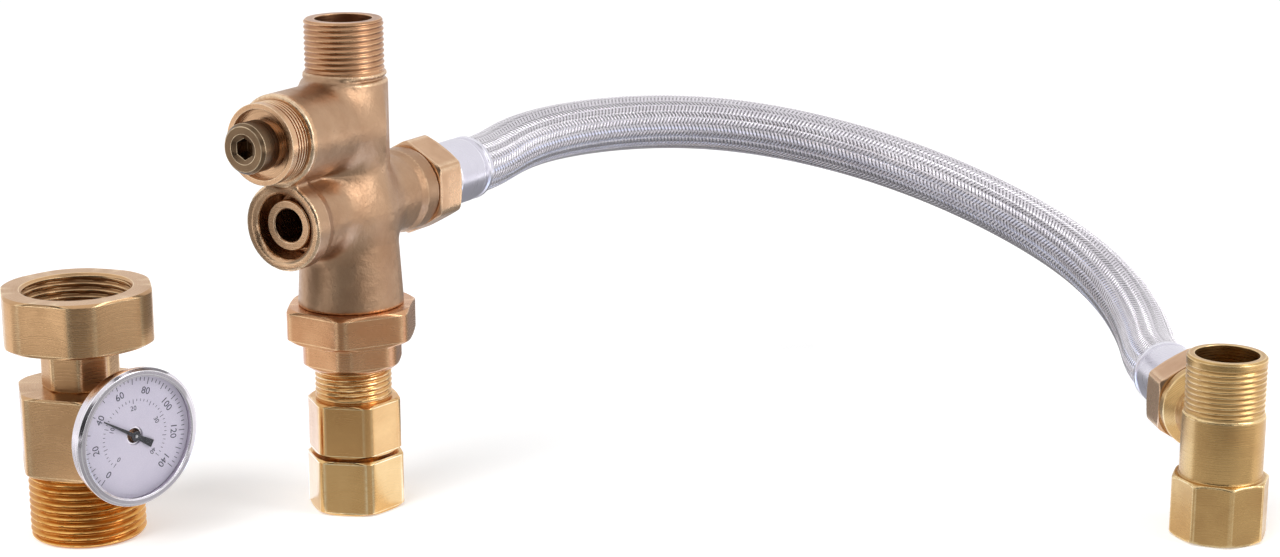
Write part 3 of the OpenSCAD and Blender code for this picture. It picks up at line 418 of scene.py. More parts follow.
MOTTLED = (
    ("black_rubber", 0.6, ((30, 30, 32), (48, 47, 48)), {"Relief": 0.00004}),
    ("liner_rubber", 0.5, ((52, 52, 56), (34, 34, 38)), {}),
    ("white_plastic", 0.42, ((226, 224, 214), (206, 203, 192)), {}),
    ("dial_white", 0.5, ((204, 198, 214), (190, 185, 203)), {"Relief": 0.000004}),
    ("dial_ink", 0.55, ((70, 70, 86), (60, 60, 76)), {"Relief": 0.000002}),
    ("pointer_black", 0.35, ((34, 34, 42), (46, 46, 54)), {"Relief": 0.000004}))

FINISH = {name: surfaced(name, METAL, *values) for name, *values in METALS}
FINISH.update((name, surfaced(name, SPECKLE, *values)) for name, *values in MOTTLED)
FINISH.update(lens_glass=glass(), braid_wire=wire_material())

# The slots whose finish has another name than the slot itself.
SLOT_FINISH = {
    "braid": "braid_wire", "ferrule": "ferrule_steel", "steel": "spring_steel",
    "polished_steel": "bezel_steel", "rubber": "black_rubber", "liner": "liner_rubber",
    "dial": "dial_white", "pointer": "pointer_black", "lens": "lens_glass"}


def slot_finish(slot):
    return FINISH[SLOT_FINISH.get(slot, slot)]


def dress_inner_parts():
    """The parts that keep their solids get the finish of their material slot."""
    for part in frame["record"]["subparts"]:
        node = frame["nodes"][part["node"]]
        node.data.materials.clear()
        node.data.materials.append(slot_finish(part["material_slot"]))


# ---- Mesh helpers ----

SHARP_ANGLE = 38


def piece(name, points, faces, material, marks, place=UPRIGHT, crisp=True):
    """A mesh object in metres from points in millimetres, with its place in its mesh."""
    matrix = np.array(place)
    points = (np.asarray(points, float) @ matrix[:3, :3].T + matrix[:3, 3]) * MM
    mesh = new_mesh(name, points.tolist(), [], [list(f) for f in faces], material)
    for key, values in marks.items():
        attribute = mesh.attributes.new(key, "FLOAT", "POINT")
        attribute.data.foreach_set("value", np.asarray(values, np.float32))
    settle(mesh, crisp=crisp)
    return new_object(name, mesh)


def settle(mesh, outward=True, crisp=True):
    """Doubles merged, faces pointing outwards, smooth apart from the sharp edges."""
    work = bmesh.new()
    work.from_mesh(mesh)
    bmesh.ops.remove_doubles(work, verts=work.verts, dist=1e-6)
    bmesh.ops.dissolve_degenerate(work, edges=work.edges, dist=1e-7)
    if outward:
        bmesh.ops.recalc_face_normals(work, faces=work.faces)
    work.to_mesh(mesh)
    work.free()
    mesh.shade_smooth()
    if crisp:
        mesh.set_sharp_from_angle(angle=math.radians(SHARP_ANGLE))


def finish_piece(made, body, slot, *nodes):
    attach(made, body)
    if nodes:
        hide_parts(*nodes)


def second_finish(made, finish, chosen):
    """Faces whose middle is chosen take a second finish."""
    mesh = made.data
    mesh.materials.append(FINISH[finish])
    middle = np.zeros(len(mesh.polygons) * 3, np.float32)
    mesh.polygons.foreach_get("center", middle)
    x, y, z = middle.reshape(-1, 3).T / MM
    mesh.polygons.foreach_set("material_index", chosen(x, y, z).astype(np.int32))
    mesh.update()


ON_AXIS, STRAIGHT, GUARD = 1e-6, 87, 0.12
ARC_SHARE, GUARD_SHARE = 0.4, 0.48


def rounded(outline, radius):
    """A closed outline of (r, z, tag, own radius) with each corner turned into a short arc."""
    done = []
    for i, corner in enumerate(outline):
        here = np.array(corner[:2], float)
        before = np.array(outline[i - 1][:2], float) - here
        after = np.array(outline[(i + 1) % len(outline)][:2], float) - here
        tag = corner[2] if len(corner) > 2 else ""
        bend = corner[3] if len(corner) > 3 else radius
        la, lb = np.linalg.norm(before), np.linalg.norm(after)
        before, after = before / la, after / lb
        half = math.acos(np.clip(before @ after, -1, 1)) / 2
        if here[0] < ON_AXIS or half > math.radians(STRAIGHT):
            done.append((*here, tag, 0.0))
            continue
        cut = min(bend / max(math.tan(half), 1e-3), ARC_SHARE * la, ARC_SHARE * lb)
        # A counter-clockwise outline that turns outward here has an edge, which gets edge wear and
        # a painted highlight.
        wear_sheen = float(before[0] * after[1] - before[1] * after[0] < 0)
        done.append((*(here + before * min(cut + GUARD, GUARD_SHARE * la)), tag, 0.0))
        for t in (0.0, 0.33, 0.67, 1.0):
            spot = ((1 - t) ** 2 * (here + before * cut) + 2 * t * (1 - t) * here
                    + t * t * (here + after * cut))
            done.append((*spot, tag, wear_sheen))
        done.append((*(here + after * min(cut + GUARD, GUARD_SHARE * lb)), tag, 0.0))
    return done


def resampled(outline, fine):
    """Points added along each side of the outline, close together on the tagged ones."""
    done = []
    for i, (r, z, tag, wear_sheen) in enumerate(outline):
        r2, z2, tag2, wear_sheen2 = outline[(i + 1) % len(outline)]
        step = fine.get(tag, math.inf) if tag == tag2 else math.inf
        count = max(1, math.ceil(math.hypot(r2 - r, z2 - z) / step))
        for k in range(count):
            t = k / count
            done.append((r + (r2 - r) * t, z + (z2 - z) * t, tag, wear_sheen + (wear_sheen2 - wear_sheen) * t))
    return done


def facings(sides, turn):
    """The ways that the flats of a regular prism face, in degrees."""
    return [turn + (k + 0.5) * 360 / sides for k in range(sides)]


def prism_reach(angles, sides, af, turn, crisp=70):
    """How far a regular prism with softly rounded corners reaches at each angle, in radians."""
    total = sum(np.maximum(np.cos(angles - math.radians(way)), 0) ** crisp
                for way in facings(sides, turn))
    return af / 2 / total ** (1 / crisp)


EVEN, BUNCHED = 0.45, 0.55


def corner_angles(sides, turn, each):
    """Angles round a prism, closer together near its corners."""
    t = np.linspace(-1, 1, each, endpoint=False)
    warped = 180 / sides * (EVEN * t + BUNCHED * np.sin(t * math.pi / 2))
    return np.radians(np.concatenate([way + warped for way in facings(sides, turn)]))


FINE_STEPS = {"hex": 0.5, "thread": 0.2, "key": 0.6}
SOFT_MEET = 60.0
CORNER_START, CORNER_SPAN, WEAR_SHEEN_SPAN, PRISM_WEAR_SHEEN = 1.085, 0.04, 0.012, 0.8


def turned(name, slot, outline, nodes=(), place=UPRIGHT, finish=None, body="valve_and_hose",
           prism=None, socket=None, steps=96, radius=0.25, fine=None, thread=None):
    """A piece turned from a closed outline of (r, z, tag). Tag "hex" is cut to the prism (sides,
    across flats, turn), tag "key" follows the socket's prism, and tag "thread" marks where the
    thread goes: (foot, length, pitch, depth), and its run-out."""
    spots = resampled(rounded(outline, radius), {**FINE_STEPS, **(fine or {})})
    r, z, wear_sheen = (np.array([s[i] for s in spots]) for i in (0, 1, 3))
    tags = np.array([s[2] for s in spots])
    sides, _, turn = prism or socket or (0, 0, 0)
    angles = (corner_angles(sides, turn, max(12, steps // sides)) if sides
              else np.radians(np.linspace(0, 360, steps, endpoint=False)))
    n, m = len(spots), len(angles)
    reach, edge, height = (np.repeat(a[:, None], m, 1) for a in (r, wear_sheen, z))
    cut, keyed = tags == "hex", tags == "key"
    if prism:
        flat = prism_reach(angles, *prism)[None, :]
        free = r[cut][:, None]
        reach[cut] = (free ** -SOFT_MEET + flat ** -SOFT_MEET) ** (-1 / SOFT_MEET)
        # Corners of the prism, and where the turned outline meets the flats, are marked as edges:
        # edge wear with a painted highlight.
        corner = np.clip((flat / (prism[1] / 2) - CORNER_START) / CORNER_SPAN, 0, 1) * (free > flat)
        both = np.clip(1 - np.abs(free / flat - 1) / WEAR_SHEEN_SPAN, 0, 1)
        edge[cut] = np.clip(np.maximum(edge[cut] * (free > flat * 0.99),
                                       np.maximum(corner, both) * PRISM_WEAR_SHEEN), 0, 1)
    if socket:
        reach[keyed] = prism_reach(angles, *socket)[None, :] * (r[keyed][:, None] / (socket[1] / 2))
    points = np.stack([reach * np.cos(angles), reach * np.sin(angles), height], -1).reshape(-1, 3)
    faces = [(i * m + k, i * m + (k + 1) % m, (i + 1) % n * m + (k + 1) % m, (i + 1) % n * m + k)
             for i in range(n) for k in range(m)]
    marks = {"edge": edge.ravel(), "threaded": np.repeat((tags == "thread").astype(float), m)}
    material = FINISH[finish] if finish else slot_finish(slot)
    made = piece(name, points, faces, material, marks, place)
    if thread:
        cut_thread(made, place.translation, material, *thread)
    finish_piece(made, body, slot, *nodes)
    return made


def flats(r, foot, top, inward=1.2, up=0.8):
    """The flats of a nut in an outline, from foot to top, with a chamfer at each end."""
    return [(r - inward, foot, "hex"), (r, foot + up, "hex"), (r, top - up, "hex"),
            (r - inward, top, "hex")]


# ---- Geometry Nodes ----

def grown(name, mesh, tree, material, lengths, numbers=None, outward=False):
    """The mesh that a node tree makes from a starting mesh, from lengths in millimetres and plain
    numbers."""
    values = {key: length * MM for key, length in lengths.items()}
    values.update(numbers or {}, Material=material)
    seed = new_object(name + "_seed", mesh)
    modifier = seed.modifiers.new(name, "NODES")
    modifier.node_group = tree
    for item in tree.interface.items_tree:
        if item.item_type == "SOCKET" and item.in_out == "INPUT" and item.name in values:
            modifier[item.identifier] = values[item.name]
    graph = bpy.context.evaluated_depsgraph_get()
    graph.update()
    result = bpy.data.meshes.new_from_object(
        seed.evaluated_get(graph), preserve_all_data_layers=True, depsgraph=graph)
    result.name = name
    bpy.data.objects.remove(seed)
    settle(result, outward)
    return result


def helical_thread(tree, inputs):
    """Cuts a helical groove round an upright axis into the points marked as threaded."""
    local = vector("SUBTRACT", add(tree, "GeometryNodeInputPosition"),
                   joined(inputs["Axis x"], inputs["Axis y"]))
    parts = add(tree, "ShaderNodeSeparateXYZ", local)
    x, y, climb = parts[0], parts[1], parts[2] - inputs["Foot"]
    left = inputs["Length"] - climb
    phase = calc("FRACT", climb / inputs["Pitch"] - calc("ARCTAN2", y, x) / math.tau)
    fold = calc("ABSOLUTE", phase * 2.0 - 1.0)
    fade = ramp(climb / inputs["Run-out"], 0.0, 1.0) * ramp(left / inputs["Run-out"], 0.0, 1.0)
    mask = mesh_mark(tree, "threaded")
    sink = ramp(fold, 0.12, 0.88) * fade * (mask * inputs["Depth"])
    inward = scaled(vector("NORMALIZE", joined(x, y)), sink * -1.0)
    moved = add(tree, "GeometryNodeSetPosition", inputs["Geometry"], Offset=inward)
    # Thread crests are marked as edges, so they get edge wear and a painted highlight.
    crest = ramp(fold, 0.35, 0.0) * mask * fade
    return marked(moved, "edge", calc("MAXIMUM", mesh_mark(tree, "edge"), crest))


HELICAL_THREAD = geometry_group("helical thread", {
    "Axis x": 0.0, "Axis y": 0.0, "Foot": 0.0, "Length": 0.01, "Pitch": 0.0018, "Depth": 0.0009,
    "Run-out": 0.001}, helical_thread)


def cut_thread(made, axis, material, foot, length, pitch, depth, run_out=None):
    """Cuts the thread into a turned piece. A negative depth cuts outward, for a socket."""
    made.data = grown(made.name, made.data, HELICAL_THREAD, material, {
        "Axis x": axis.x, "Axis y": axis.y, "Foot": foot, "Length": length, "Pitch": pitch,
        "Depth": depth, "Run-out": run_out or 0.6 * pitch})


def winding_line(tree, rings):
    line = add(tree, "GeometryNodeMeshLine", Count=rings, Offset=(0.0, 0.0, 0.001))
    return add(tree, "GeometryNodeMeshToCurve", line)


def beside(path, share, angle, distance):
    """A spot beside a path, at an angle round it and a distance from it, and the way out to it."""
    spot = add(tree_of(path), "GeometryNodeSampleCurve", Curves=path, Factor=share, mode="FACTOR")
    aside = vector("CROSS_PRODUCT", spot["Tangent"], spot["Normal"])
    out = vector("ADD", scaled(spot["Normal"], calc("COSINE", angle)),
                 scaled(aside, calc("SINE", angle)))
    return vector("ADD", spot["Position"], scaled(out, distance)), out


# ---- Hose ----

HOSE_POINTS, SPAN_POINTS = 160, 24


def hose_line():
    """Centre line of the hose, evenly spaced and straight inside both ferrules."""
    valve_way, tee_way = plan(PORT_ANGLE), plan(TEE_ANGLE)
    valve_mouth, tee_mouth = VALVE_BOSS + HOSE_MOUTH * valve_way, TEE_BOSS + HOSE_MOUTH * tee_way
    knots = np.array([valve_mouth] * 3 + [valve_mouth + HOSE_LEAD * valve_way] + HOSE_ROUTE
                     + [tee_mouth + HOSE_LEAD * tee_way] + [tee_mouth] * 3)
    t = np.linspace(0, 1, SPAN_POINTS, endpoint=False)[:, None]
    spans = [((1 - t) ** 3 * a + (3 * t ** 3 - 6 * t ** 2 + 4) * b
              + (-3 * t ** 3 + 3 * t ** 2 + 3 * t + 1) * c + t ** 3 * d) / 6
             for a, b, c, d in zip(knots, knots[1:], knots[2:], knots[3:])]
    points = np.concatenate([[VALVE_BOSS + HOSE_Z * valve_way], *spans,
                             [tee_mouth, TEE_BOSS + HOSE_Z * tee_way]])
    run = np.concatenate([[0], np.cumsum(np.linalg.norm(np.diff(points, axis=0), axis=1))])
    even = np.linspace(0, run[-1], HOSE_POINTS)
    return np.stack([np.interp(even, run, points[:, i]) for i in range(3)], 1), run[-1]


def wire_braid(tree, inputs):
    """Ribbons of wire wound one way round a path, over two and under two of the other way's."""
    path = add(tree, "GeometryNodeMeshToCurve", inputs["Geometry"])
    path = add(tree, "GeometryNodeSetCurveNormal", path, mode="Z_UP")
    copies = add(tree, "GeometryNodeDuplicateElements", winding_line(tree, inputs["Rings"]),
                 Amount=inputs["Carriers"] * 0.5, domain="SPLINE")
    lane, hand = copies["Duplicate Index"], inputs["Hand"]
    share = add(tree, "GeometryNodeSplineParameter")["Factor"]
    swirl = share * inputs["Turns"]
    angle = lane * (2 * math.tau) / inputs["Carriers"] + hand * (swirl * math.tau)
    step = lane * 2.0 + hand * (swirl * inputs["Carriers"])
    wave = calc("COSINE", (step - 0.5) * (math.pi / 2))
    over = calc("SINE", wave * hand * (math.pi / 2))
    place, out = beside(path, share, angle, inputs["Radius"] + inputs["Lift"] * over)
    facing = add(tree, "GeometryNodeSetCurveNormal", copies, Normal=out, mode="FREE")
    wound = add(tree, "GeometryNodeSetPosition", facing, Position=place)
    ribbon = add(tree, "GeometryNodeCurvePrimitiveQuadrilateral", Offset=0.0, mode="TRAPEZOID",
                 Height=inputs["Ribbon thickness"], Bottom_Width=inputs["Ribbon width"],
                 Top_Width=inputs["Crown width"])
    ribbon = add(tree, "GeometryNodeTransform", ribbon, Rotation=(0.0, 0.0, -math.pi / 2))
    width = add(tree, "ShaderNodeSeparateXYZ", add(tree, "GeometryNodeInputPosition"))[1]
    ribbon = marked(ribbon, "across", width / inputs["Ribbon width"])
    swept = add(tree, "GeometryNodeCurveToMesh", wound, Profile_Curve=ribbon, Fill_Caps=True)
    return add(tree, "GeometryNodeSetShadeSmooth", swept, Shade_Smooth=False)


def braid_the_hose():
    line, length = hose_line()
    tree = geometry_group("wire braid", {
        "Radius": 0.01, "Lift": 0.0002, "Carriers": 48, "Turns": 8.0, "Hand": 1.0, "Rings": 480,
        "Ribbon width": 0.0012, "Crown width": 0.0006, "Ribbon thickness": 0.0003}, wire_braid)
    mesh = new_mesh("hose_path", (line * MM).tolist(), [(i, i + 1) for i in range(len(line) - 1)])
    ways = [new_object(name, grown(name, mesh, tree, FINISH["braid_wire"], {
        "Radius": 9.95, "Lift": 0.15, "Ribbon width": 1.26, "Crown width": 0.66,
        "Ribbon thickness": 0.3}, {
        "Carriers": BRAID_CARRIERS, "Turns": BRAID_TURNS, "Hand": hand,
        "Rings": round(2 * BRAID_CARRIERS * BRAID_TURNS) + 1}))
        for hand, name in ((1.0, "hose_braid_right_hand"), (-1.0, "hose_braid_left_hand"))]
    finish_piece(ways[0], "valve_and_hose", "braid", "hose_braid")
    finish_piece(ways[1], "valve_and_hose", "braid")
    ways[0]
    tuple(MM * (VALVE_BOSS + HOSE_MOUTH * plan(PORT_ANGLE)))
    ways[1]


# ---- Springs ----

def coil_spring(tree, inputs):
    """A round wire wound round a straight path, with its end turns lying flat."""
    path = add(tree, "GeometryNodeMeshToCurve", inputs["Geometry"])
    share = add(tree, "GeometryNodeSplineParameter")["Factor"]
    wound = share * (inputs["Turns"] + inputs["Flat turns"] * 2.0)
    climb = ramp((wound - inputs["Flat turns"]) / inputs["Turns"], 0.0, 1.0)
    place, _ = beside(path, climb, wound * math.tau, inputs["Coil radius"])
    coil = add(tree, "GeometryNodeSetPosition", winding_line(tree, inputs["Rings"]), Position=place)
    wire = add(tree, "GeometryNodeCurvePrimitiveCircle", Resolution=12,
               Radius=inputs["Wire radius"])
    return add(tree, "GeometryNodeCurveToMesh", coil, Profile_Curve=wire, Fill_Caps=True)


def make_springs():
    """Each spring rests on the valve at its first end and on the part it pushes at its second."""
    hot = Matrix.Translation((0, 0, HOT_CHECK_Z))
    cold = port((0, 0, CROSS_Z), PORT_ANGLE)
    tree = geometry_group("coil spring", {
        "Coil radius": 0.005, "Wire radius": 0.0005, "Turns": 4.0, "Flat turns": 0.8,
        "Rings": 160}, coil_spring)
    for name, place, still, moving, coil_r, wire_r, turns, body, node in (
            ("shuttle_spring_coil", CARTRIDGE, -7.95, 3.95, 6.3, 0.65, 4, "shuttle",
             "return_spring"),
            ("hot_check_coil", hot, 10.95, 3.9, 3.3, 0.4, 3, "hot_poppet", "hot_check_spring"),
            ("cold_check_coil", cold, 9.05, 16.1, 3.3, 0.4, 3, "cold_poppet",
             "cold_check_spring")):
        inset = math.copysign(wire_r, moving - still)
        start, end, low, high = (place @ Vector((0, 0, z)) * MM
                                 for z in (still, moving, still + inset, moving - inset))
        spring = new_object(name, grown(
            name, new_mesh(name, [low, high], [(0, 1)]), tree, FINISH["spring_steel"],
            {"Coil radius": coil_r, "Wire radius": wire_r},
            {"Turns": float(turns), "Rings": 24 * turns + 40}, outward=True))
        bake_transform(spring)
        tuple(start)
        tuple(end)
        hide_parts(node)


# ---- Castings ----

def profile_distance(profile, r, z):
    """Signed distance to a solid turned from a profile of (r, z), closed along the axis."""
    outline = [(0, profile[0][1]), *profile, (0, profile[-1][1])]
    nearest = np.full(r.shape, 1e9, np.float32)
    inside = np.zeros(r.shape, bool)
    for (ar, az), (br, bz) in zip(outline, outline[1:] + outline[:1]):
        er, ez = br - ar, bz - az
        if az != bz:
            inside ^= ((az > z) != (bz > z)) & (r < er * (z - az) / ez + ar)
        if ar == 0 and br == 0:
            continue
        t = np.clip(((r - ar) * er + (z - az) * ez) / (er * er + ez * ez), 0, 1)
        nearest = np.minimum(nearest, (r - ar - t * er) ** 2 + (z - az - t * ez) ** 2)
    return np.where(inside, -1, 1) * np.sqrt(nearest)


def bore(*sizes):
    """Profile of a bore with square steps, from places along it and the radii between them."""
    places, radii = sizes[::2], sizes[1::2]
    return [(r, z) for r, span in zip(radii, zip(places, places[1:])) for z in span]


def melt(first, second, fillet):
    """Union of two solids with a soft fillet between them."""
    near = np.maximum(fillet - np.abs(first - second), 0) / fillet
    return np.minimum(first, second) - near * near * fillet / 4


def carve(solid, hole, edge):
    return -melt(-solid, hole, edge)


def along_port(x, y, z, centre, angle):
    """Distance from a level port's axis, and place along it."""
    way = plan(angle)
    dx, dy, dz = x - centre[0], y - centre[1], z - centre[2]
    along = dx * way[0] + dy * way[1]
    aside = -dx * way[1] + dy * way[0]
    return np.hypot(aside, dz), along


def cast_piece(name, solid, low, high, step, material):
    """A closed mesh of a solid that is given by its signed distance, on a grid of cells."""
    axes = [np.arange(a, b + step, step, dtype=np.float32) for a, b in zip(low, high)]
    value = solid(*np.meshgrid(*axes, indexing="ij")).astype(np.float32)
    inside = value < 0
    count = sum(inside[corner].astype(np.int8)
                for corner in product((slice(0, -1), slice(1, None)), repeat=3))
    mixed = (count > 0) & (count < 8)
    cells = np.argwhere(mixed)
    number = np.full(mixed.shape, -1, np.int64)
    number[mixed] = np.arange(len(cells))
    total, hits, faces = np.zeros((len(cells), 3)), np.zeros(len(cells)), []
    for axis, unit in enumerate(np.eye(3, dtype=int)):
        first, second = np.delete(np.eye(3, dtype=int), axis, 0)
        for u, v in product((0, 1), (0, 1)):
            a = cells + u * first + v * second
            va, vb = value[tuple(a.T)], value[tuple((a + unit).T)]
            crossed = (va < 0) != (vb < 0)
            t = np.where(crossed, va / np.where(crossed, va - vb, 1), 0)
            total[crossed] += (a + t[:, None] * unit)[crossed]
            hits += crossed
        lower, upper = [slice(1, -1)] * 3, [slice(1, -1)] * 3
        lower[axis], upper[axis] = slice(0, -1), slice(1, None)
        changed = np.argwhere(inside[tuple(lower)] != inside[tuple(upper)]) + first + second
        faces.append(np.stack([number[tuple((changed - u * first - v * second).T)]
                               for u, v in ((0, 0), (1, 0), (1, 1), (0, 1))], 1))
    faces = np.concatenate(faces)
    points, sharpness = settle_on(solid, total / hits[:, None] * step + [ax[0] for ax in axes])
    # Where the casting bends outward most sharply it is marked as edge: edge wear with a painted
    # highlight.
    return piece(name, points, faces[(faces >= 0).all(1)], material, {"edge": sharpness},
                 crisp=False)


SETTLE_ROUNDS, SLOPE_REACH, SLOPE_LEAST = 3, 0.05, 0.2
SHIFT_MOST, SHIFT_SHARE = 0.3, 0.9
BEND_REACH, BEND_SOFT, BEND_SPAN = 0.7, 0.22, 0.5


def settle_on(solid, points):
    """Moves points onto the solid's surface, and tells how sharply it turns there."""
    def at(p):
        return solid(p[:, 0], p[:, 1], p[:, 2])
    for _ in range(SETTLE_ROUNDS):
        slope = np.stack([(at(points + SLOPE_REACH * e) - at(points - SLOPE_REACH * e))
                          / (2 * SLOPE_REACH) for e in np.eye(3)], 1)
        size = np.maximum((slope ** 2).sum(1), SLOPE_LEAST)
        shift = np.clip(at(points) / size, -SHIFT_MOST, SHIFT_MOST)
        points = points - SHIFT_SHARE * shift[:, None] * slope
    bend = (sum(at(points + BEND_REACH * e) + at(points - BEND_REACH * e) for e in np.eye(3))
            - 6 * at(points)) / BEND_REACH ** 2
    return points, np.clip((bend - BEND_SOFT) / BEND_SPAN, 0, 1)


def regular_distance(x, y, sides, af, turn):
    """Signed distance to the flats of a regular prism."""
    return np.max([x * plan(way)[0] + y * plan(way)[1] for way in facings(sides, turn)],
                  axis=0) - af / 2


def valve_axes(x, y, z):
    """Distance from each axis of the valve and place along it: column, hose, side and upper."""
    return [(np.hypot(x, y), z), along_port(x, y, z, (0, 0, CROSS_Z), PORT_ANGLE),
            along_port(x, y, z, (0, 0, CROSS_Z), SIDE_ANGLE),
            along_port(x, y, z, (0, 0, CARTRIDGE_Z), SIDE_ANGLE)]


VALVE_BOSSES = [
    [(17.4, SKIRT_Z), (17.8, SKIRT_Z + 0.5), (16.5, 93), (16.5, CROSS_Z), (14.2, 117.5),
     (14.2, 147.4), (13.6, 148), (12.8, 148.2), (12.8, 149.0), (13.8, 149.3), (13.8, 150.2),
     (13.5, CROWN_Z)],
    [(13.7, 0), (13.7, 23.5), (14.5, 26.5), (14.5, 32.6), (14.1, HOSE_BOSS_L),
     (10.4, HOSE_BOSS_L), (10.4, 42)],
    [(13.2, 0), (13.2, 26), (14.7, 30), (14.7, 35.5), (14.2, SIDE_PORT_L)],
    [(15, 0), (15, 37.4), (14.4, CARTRIDGE_BOSS_L)]]
VALVE_BORES = [
    bore(60, 14.05, 84.6, BORE_R, CARTRIDGE_Z, 9.5, 160),
    bore(0, BORE_R, 20, HOSE_BORE_R, 60),
    [*bore(0, BORE_R, 24, 10.75, 34.8), (12.6, 36.6)],
    bore(-8, 8.5, 2, 11.8, 60)]


def valve_solid(x, y, z):
    axes = valve_axes(x, y, z)
    column, hose, side, upper = (profile_distance(profile, *axis)
                                 for profile, axis in zip(VALVE_BOSSES, axes))
    solid = melt(melt(column, hose, 5), melt(side, upper, 3.5), 6)
    bores = [profile_distance(profile, *axis) for profile, axis in zip(VALVE_BORES, axes)]
    return carve(solid, np.minimum.reduce(bores), 0.5)


def valve_machined(x, y, z):
    """Where the valve's casting is cut bright: the bores and the faces of its ports."""
    column, hose, side, upper = valve_axes(x, y, z)
    side_bore = (side[0] < 12.6) & (side[1] > 20) & (z < CARTRIDGE_Z - 14)
    return ((side[1] > SIDE_PORT_L - 0.4) | side_bore | (upper[1] > CARTRIDGE_BOSS_L - 0.5)
            | (hose[1] > HOSE_BOSS_L - 0.4) | (column[0] < 9.8))


def tee_solid(x, y, z):
    dx, dy = x - TEE_X, y - TEE_Y
    axis, side = (np.hypot(dx, dy), z), along_port(x, y, z, (TEE_X, TEE_Y, TEE_PORT_Z), TEE_ANGLE)
    foot = np.maximum(regular_distance(dx, dy, 8, 30.3, TEE_FOOT_TURN), profile_distance(
        [(15.0, 0), (16.2, 0.7), (16.2, 20.0), (15.0, TEE_FOOT_H)], *axis))
    trunk = profile_distance([(13.65, 0.2), (13.65, 42.0), (13.2, TEE_BODY_Z)], *axis)
    boss = profile_distance([(11.5, 0), (11.5, 15), (14.5, 19), (14.5, 22.6), (14.1, TEE_BOSS_L),
                             (10.4, TEE_BOSS_L), (10.4, 32)], *side)
    boss = carve(boss, profile_distance(bore(TEE_BODY_Z, 14.4, 70), *axis), 0.6)
    solid = melt(melt(foot, trunk, 0.6), boss, 2.6)
    bores = np.minimum(profile_distance(bore(-5, 13.1, 17, 10.5, 70), *axis),
                       profile_distance(bore(0, HOSE_BORE_R, 50), *side))
    return carve(solid, bores, 0.4)


# The two corners of the box that holds each casting, and the size of its cells.
VALVE_CELLS = (-36, -48, 69), (36, 46, 152), 0.62
TEE_CELLS = (272, -49, -1), (308, 3, 54), 0.42


def make_castings():
    valve = cast_piece("valve_casting", valve_solid, *VALVE_CELLS, FINISH["cast_brass"])
    second_finish(valve, "machined_brass", valve_machined)
    finish_piece(valve, "valve_and_hose", "cast_brass", "valve_body")
    tee = cast_piece("tee_casting", tee_solid, *TEE_CELLS, FINISH["tee_brass"])
    finish_piece(tee, "valve_and_hose", "tee_brass", "tee_body")


# ---- Turned pieces ----

def pipe_thread(name, place, foot, top, bore_r, slot, finish=None, lead=0.0):
    """A male pipe thread standing on a face, open through its bore, plain along its lead."""
    low = foot - 0.3
    turned(name, slot, [
        (bore_r, low), (PIPE_R, low, "thread"), (PIPE_R, top - 0.7, "thread"),
        (PIPE_R - 0.75, top), (bore_r, top)],
        place=place, finish=finish, steps=112,
        thread=(foot + 0.2, top - foot - 0.2 - lead, PIPE_PITCH, PIPE_DEPTH))


def make_valve_stack():
    pipe_thread("outlet_thread", UPRIGHT, CROWN_Z, OUTLET_Z, 9.5, "cast_brass", "thread_brass")
    turned("inlet_bonnet_large_hexagon", "bonnet_brass", [
        (BORE_R, 58.6), (17.2, 58.6), (19.5, BONNET_Z, "hex"),
        *flats(22.96, BONNET_Z + 0.05, SKIRT_Z, 1.76, 1.1), (14, SKIRT_Z), (14, 84), (BORE_R, 84)],
        ["inlet_bonnet"], prism=(6, 41, BONNET_TURN), steps=180, radius=0.3, fine={"hex": 0.3})
    turned("inlet_bonnet_collar", "bonnet_brass", [
        (12.35, COLLAR_Z), (14.9, COLLAR_Z, "hex"), (17.25, 51.5, "hex"), (17.25, 58.0, "hex"),
        (18.2, 59.4, "hex"), (18.2, 60.4, "hex"), (BORE_R, 60.4), (BORE_R, 64), (6.2, 64),
        (6.2, 61.2), (12.35, 61.2)],
        prism=(6, 32, BONNET_TURN), steps=168, fine={"hex": 0.3})
    turned("inlet_adapter_turned", "nut_brass", [
        (8, 13.7), (11.7, 13.7), (11.7, 15.7), (10.2, 15.7), (10.2, ADAPTER_Z),
        *flats(16.02, ADAPTER_Z, ADAPTER_TOP), (12.6, ADAPTER_TOP), (12.6, 38.9, "thread"),
        (13.0, 39.3, "thread"), (13.0, 49.65, "thread"), (12.3, 49.7), (12.3, 60.6), (8, 60.6)],
        ["inlet_adapter"], finish="adapter_brass", prism=(6, 29, ADAPTER_TURN), steps=168,
        radius=0.2, thread=(39.3, 11.4, PIPE_PITCH, 0.6))
    turned("inlet_swivel_turned", "nut_brass", [
        (SOCKET_R, 0.8, "thread"), (12.7, 0), *flats(16.72, 0, 19, 1.22), (10.3, 19), (10.3, 16),
        (12.45, 16), (12.45, 11.9), (SOCKET_R, 11.9, "thread")],
        ["inlet_swivel_nut"], body="inlet_swivel", prism=(6, 30, ADAPTER_TURN), steps=168,
        thread=(0.6, 11.2, PIPE_PITCH, SOCKET_DEPTH))


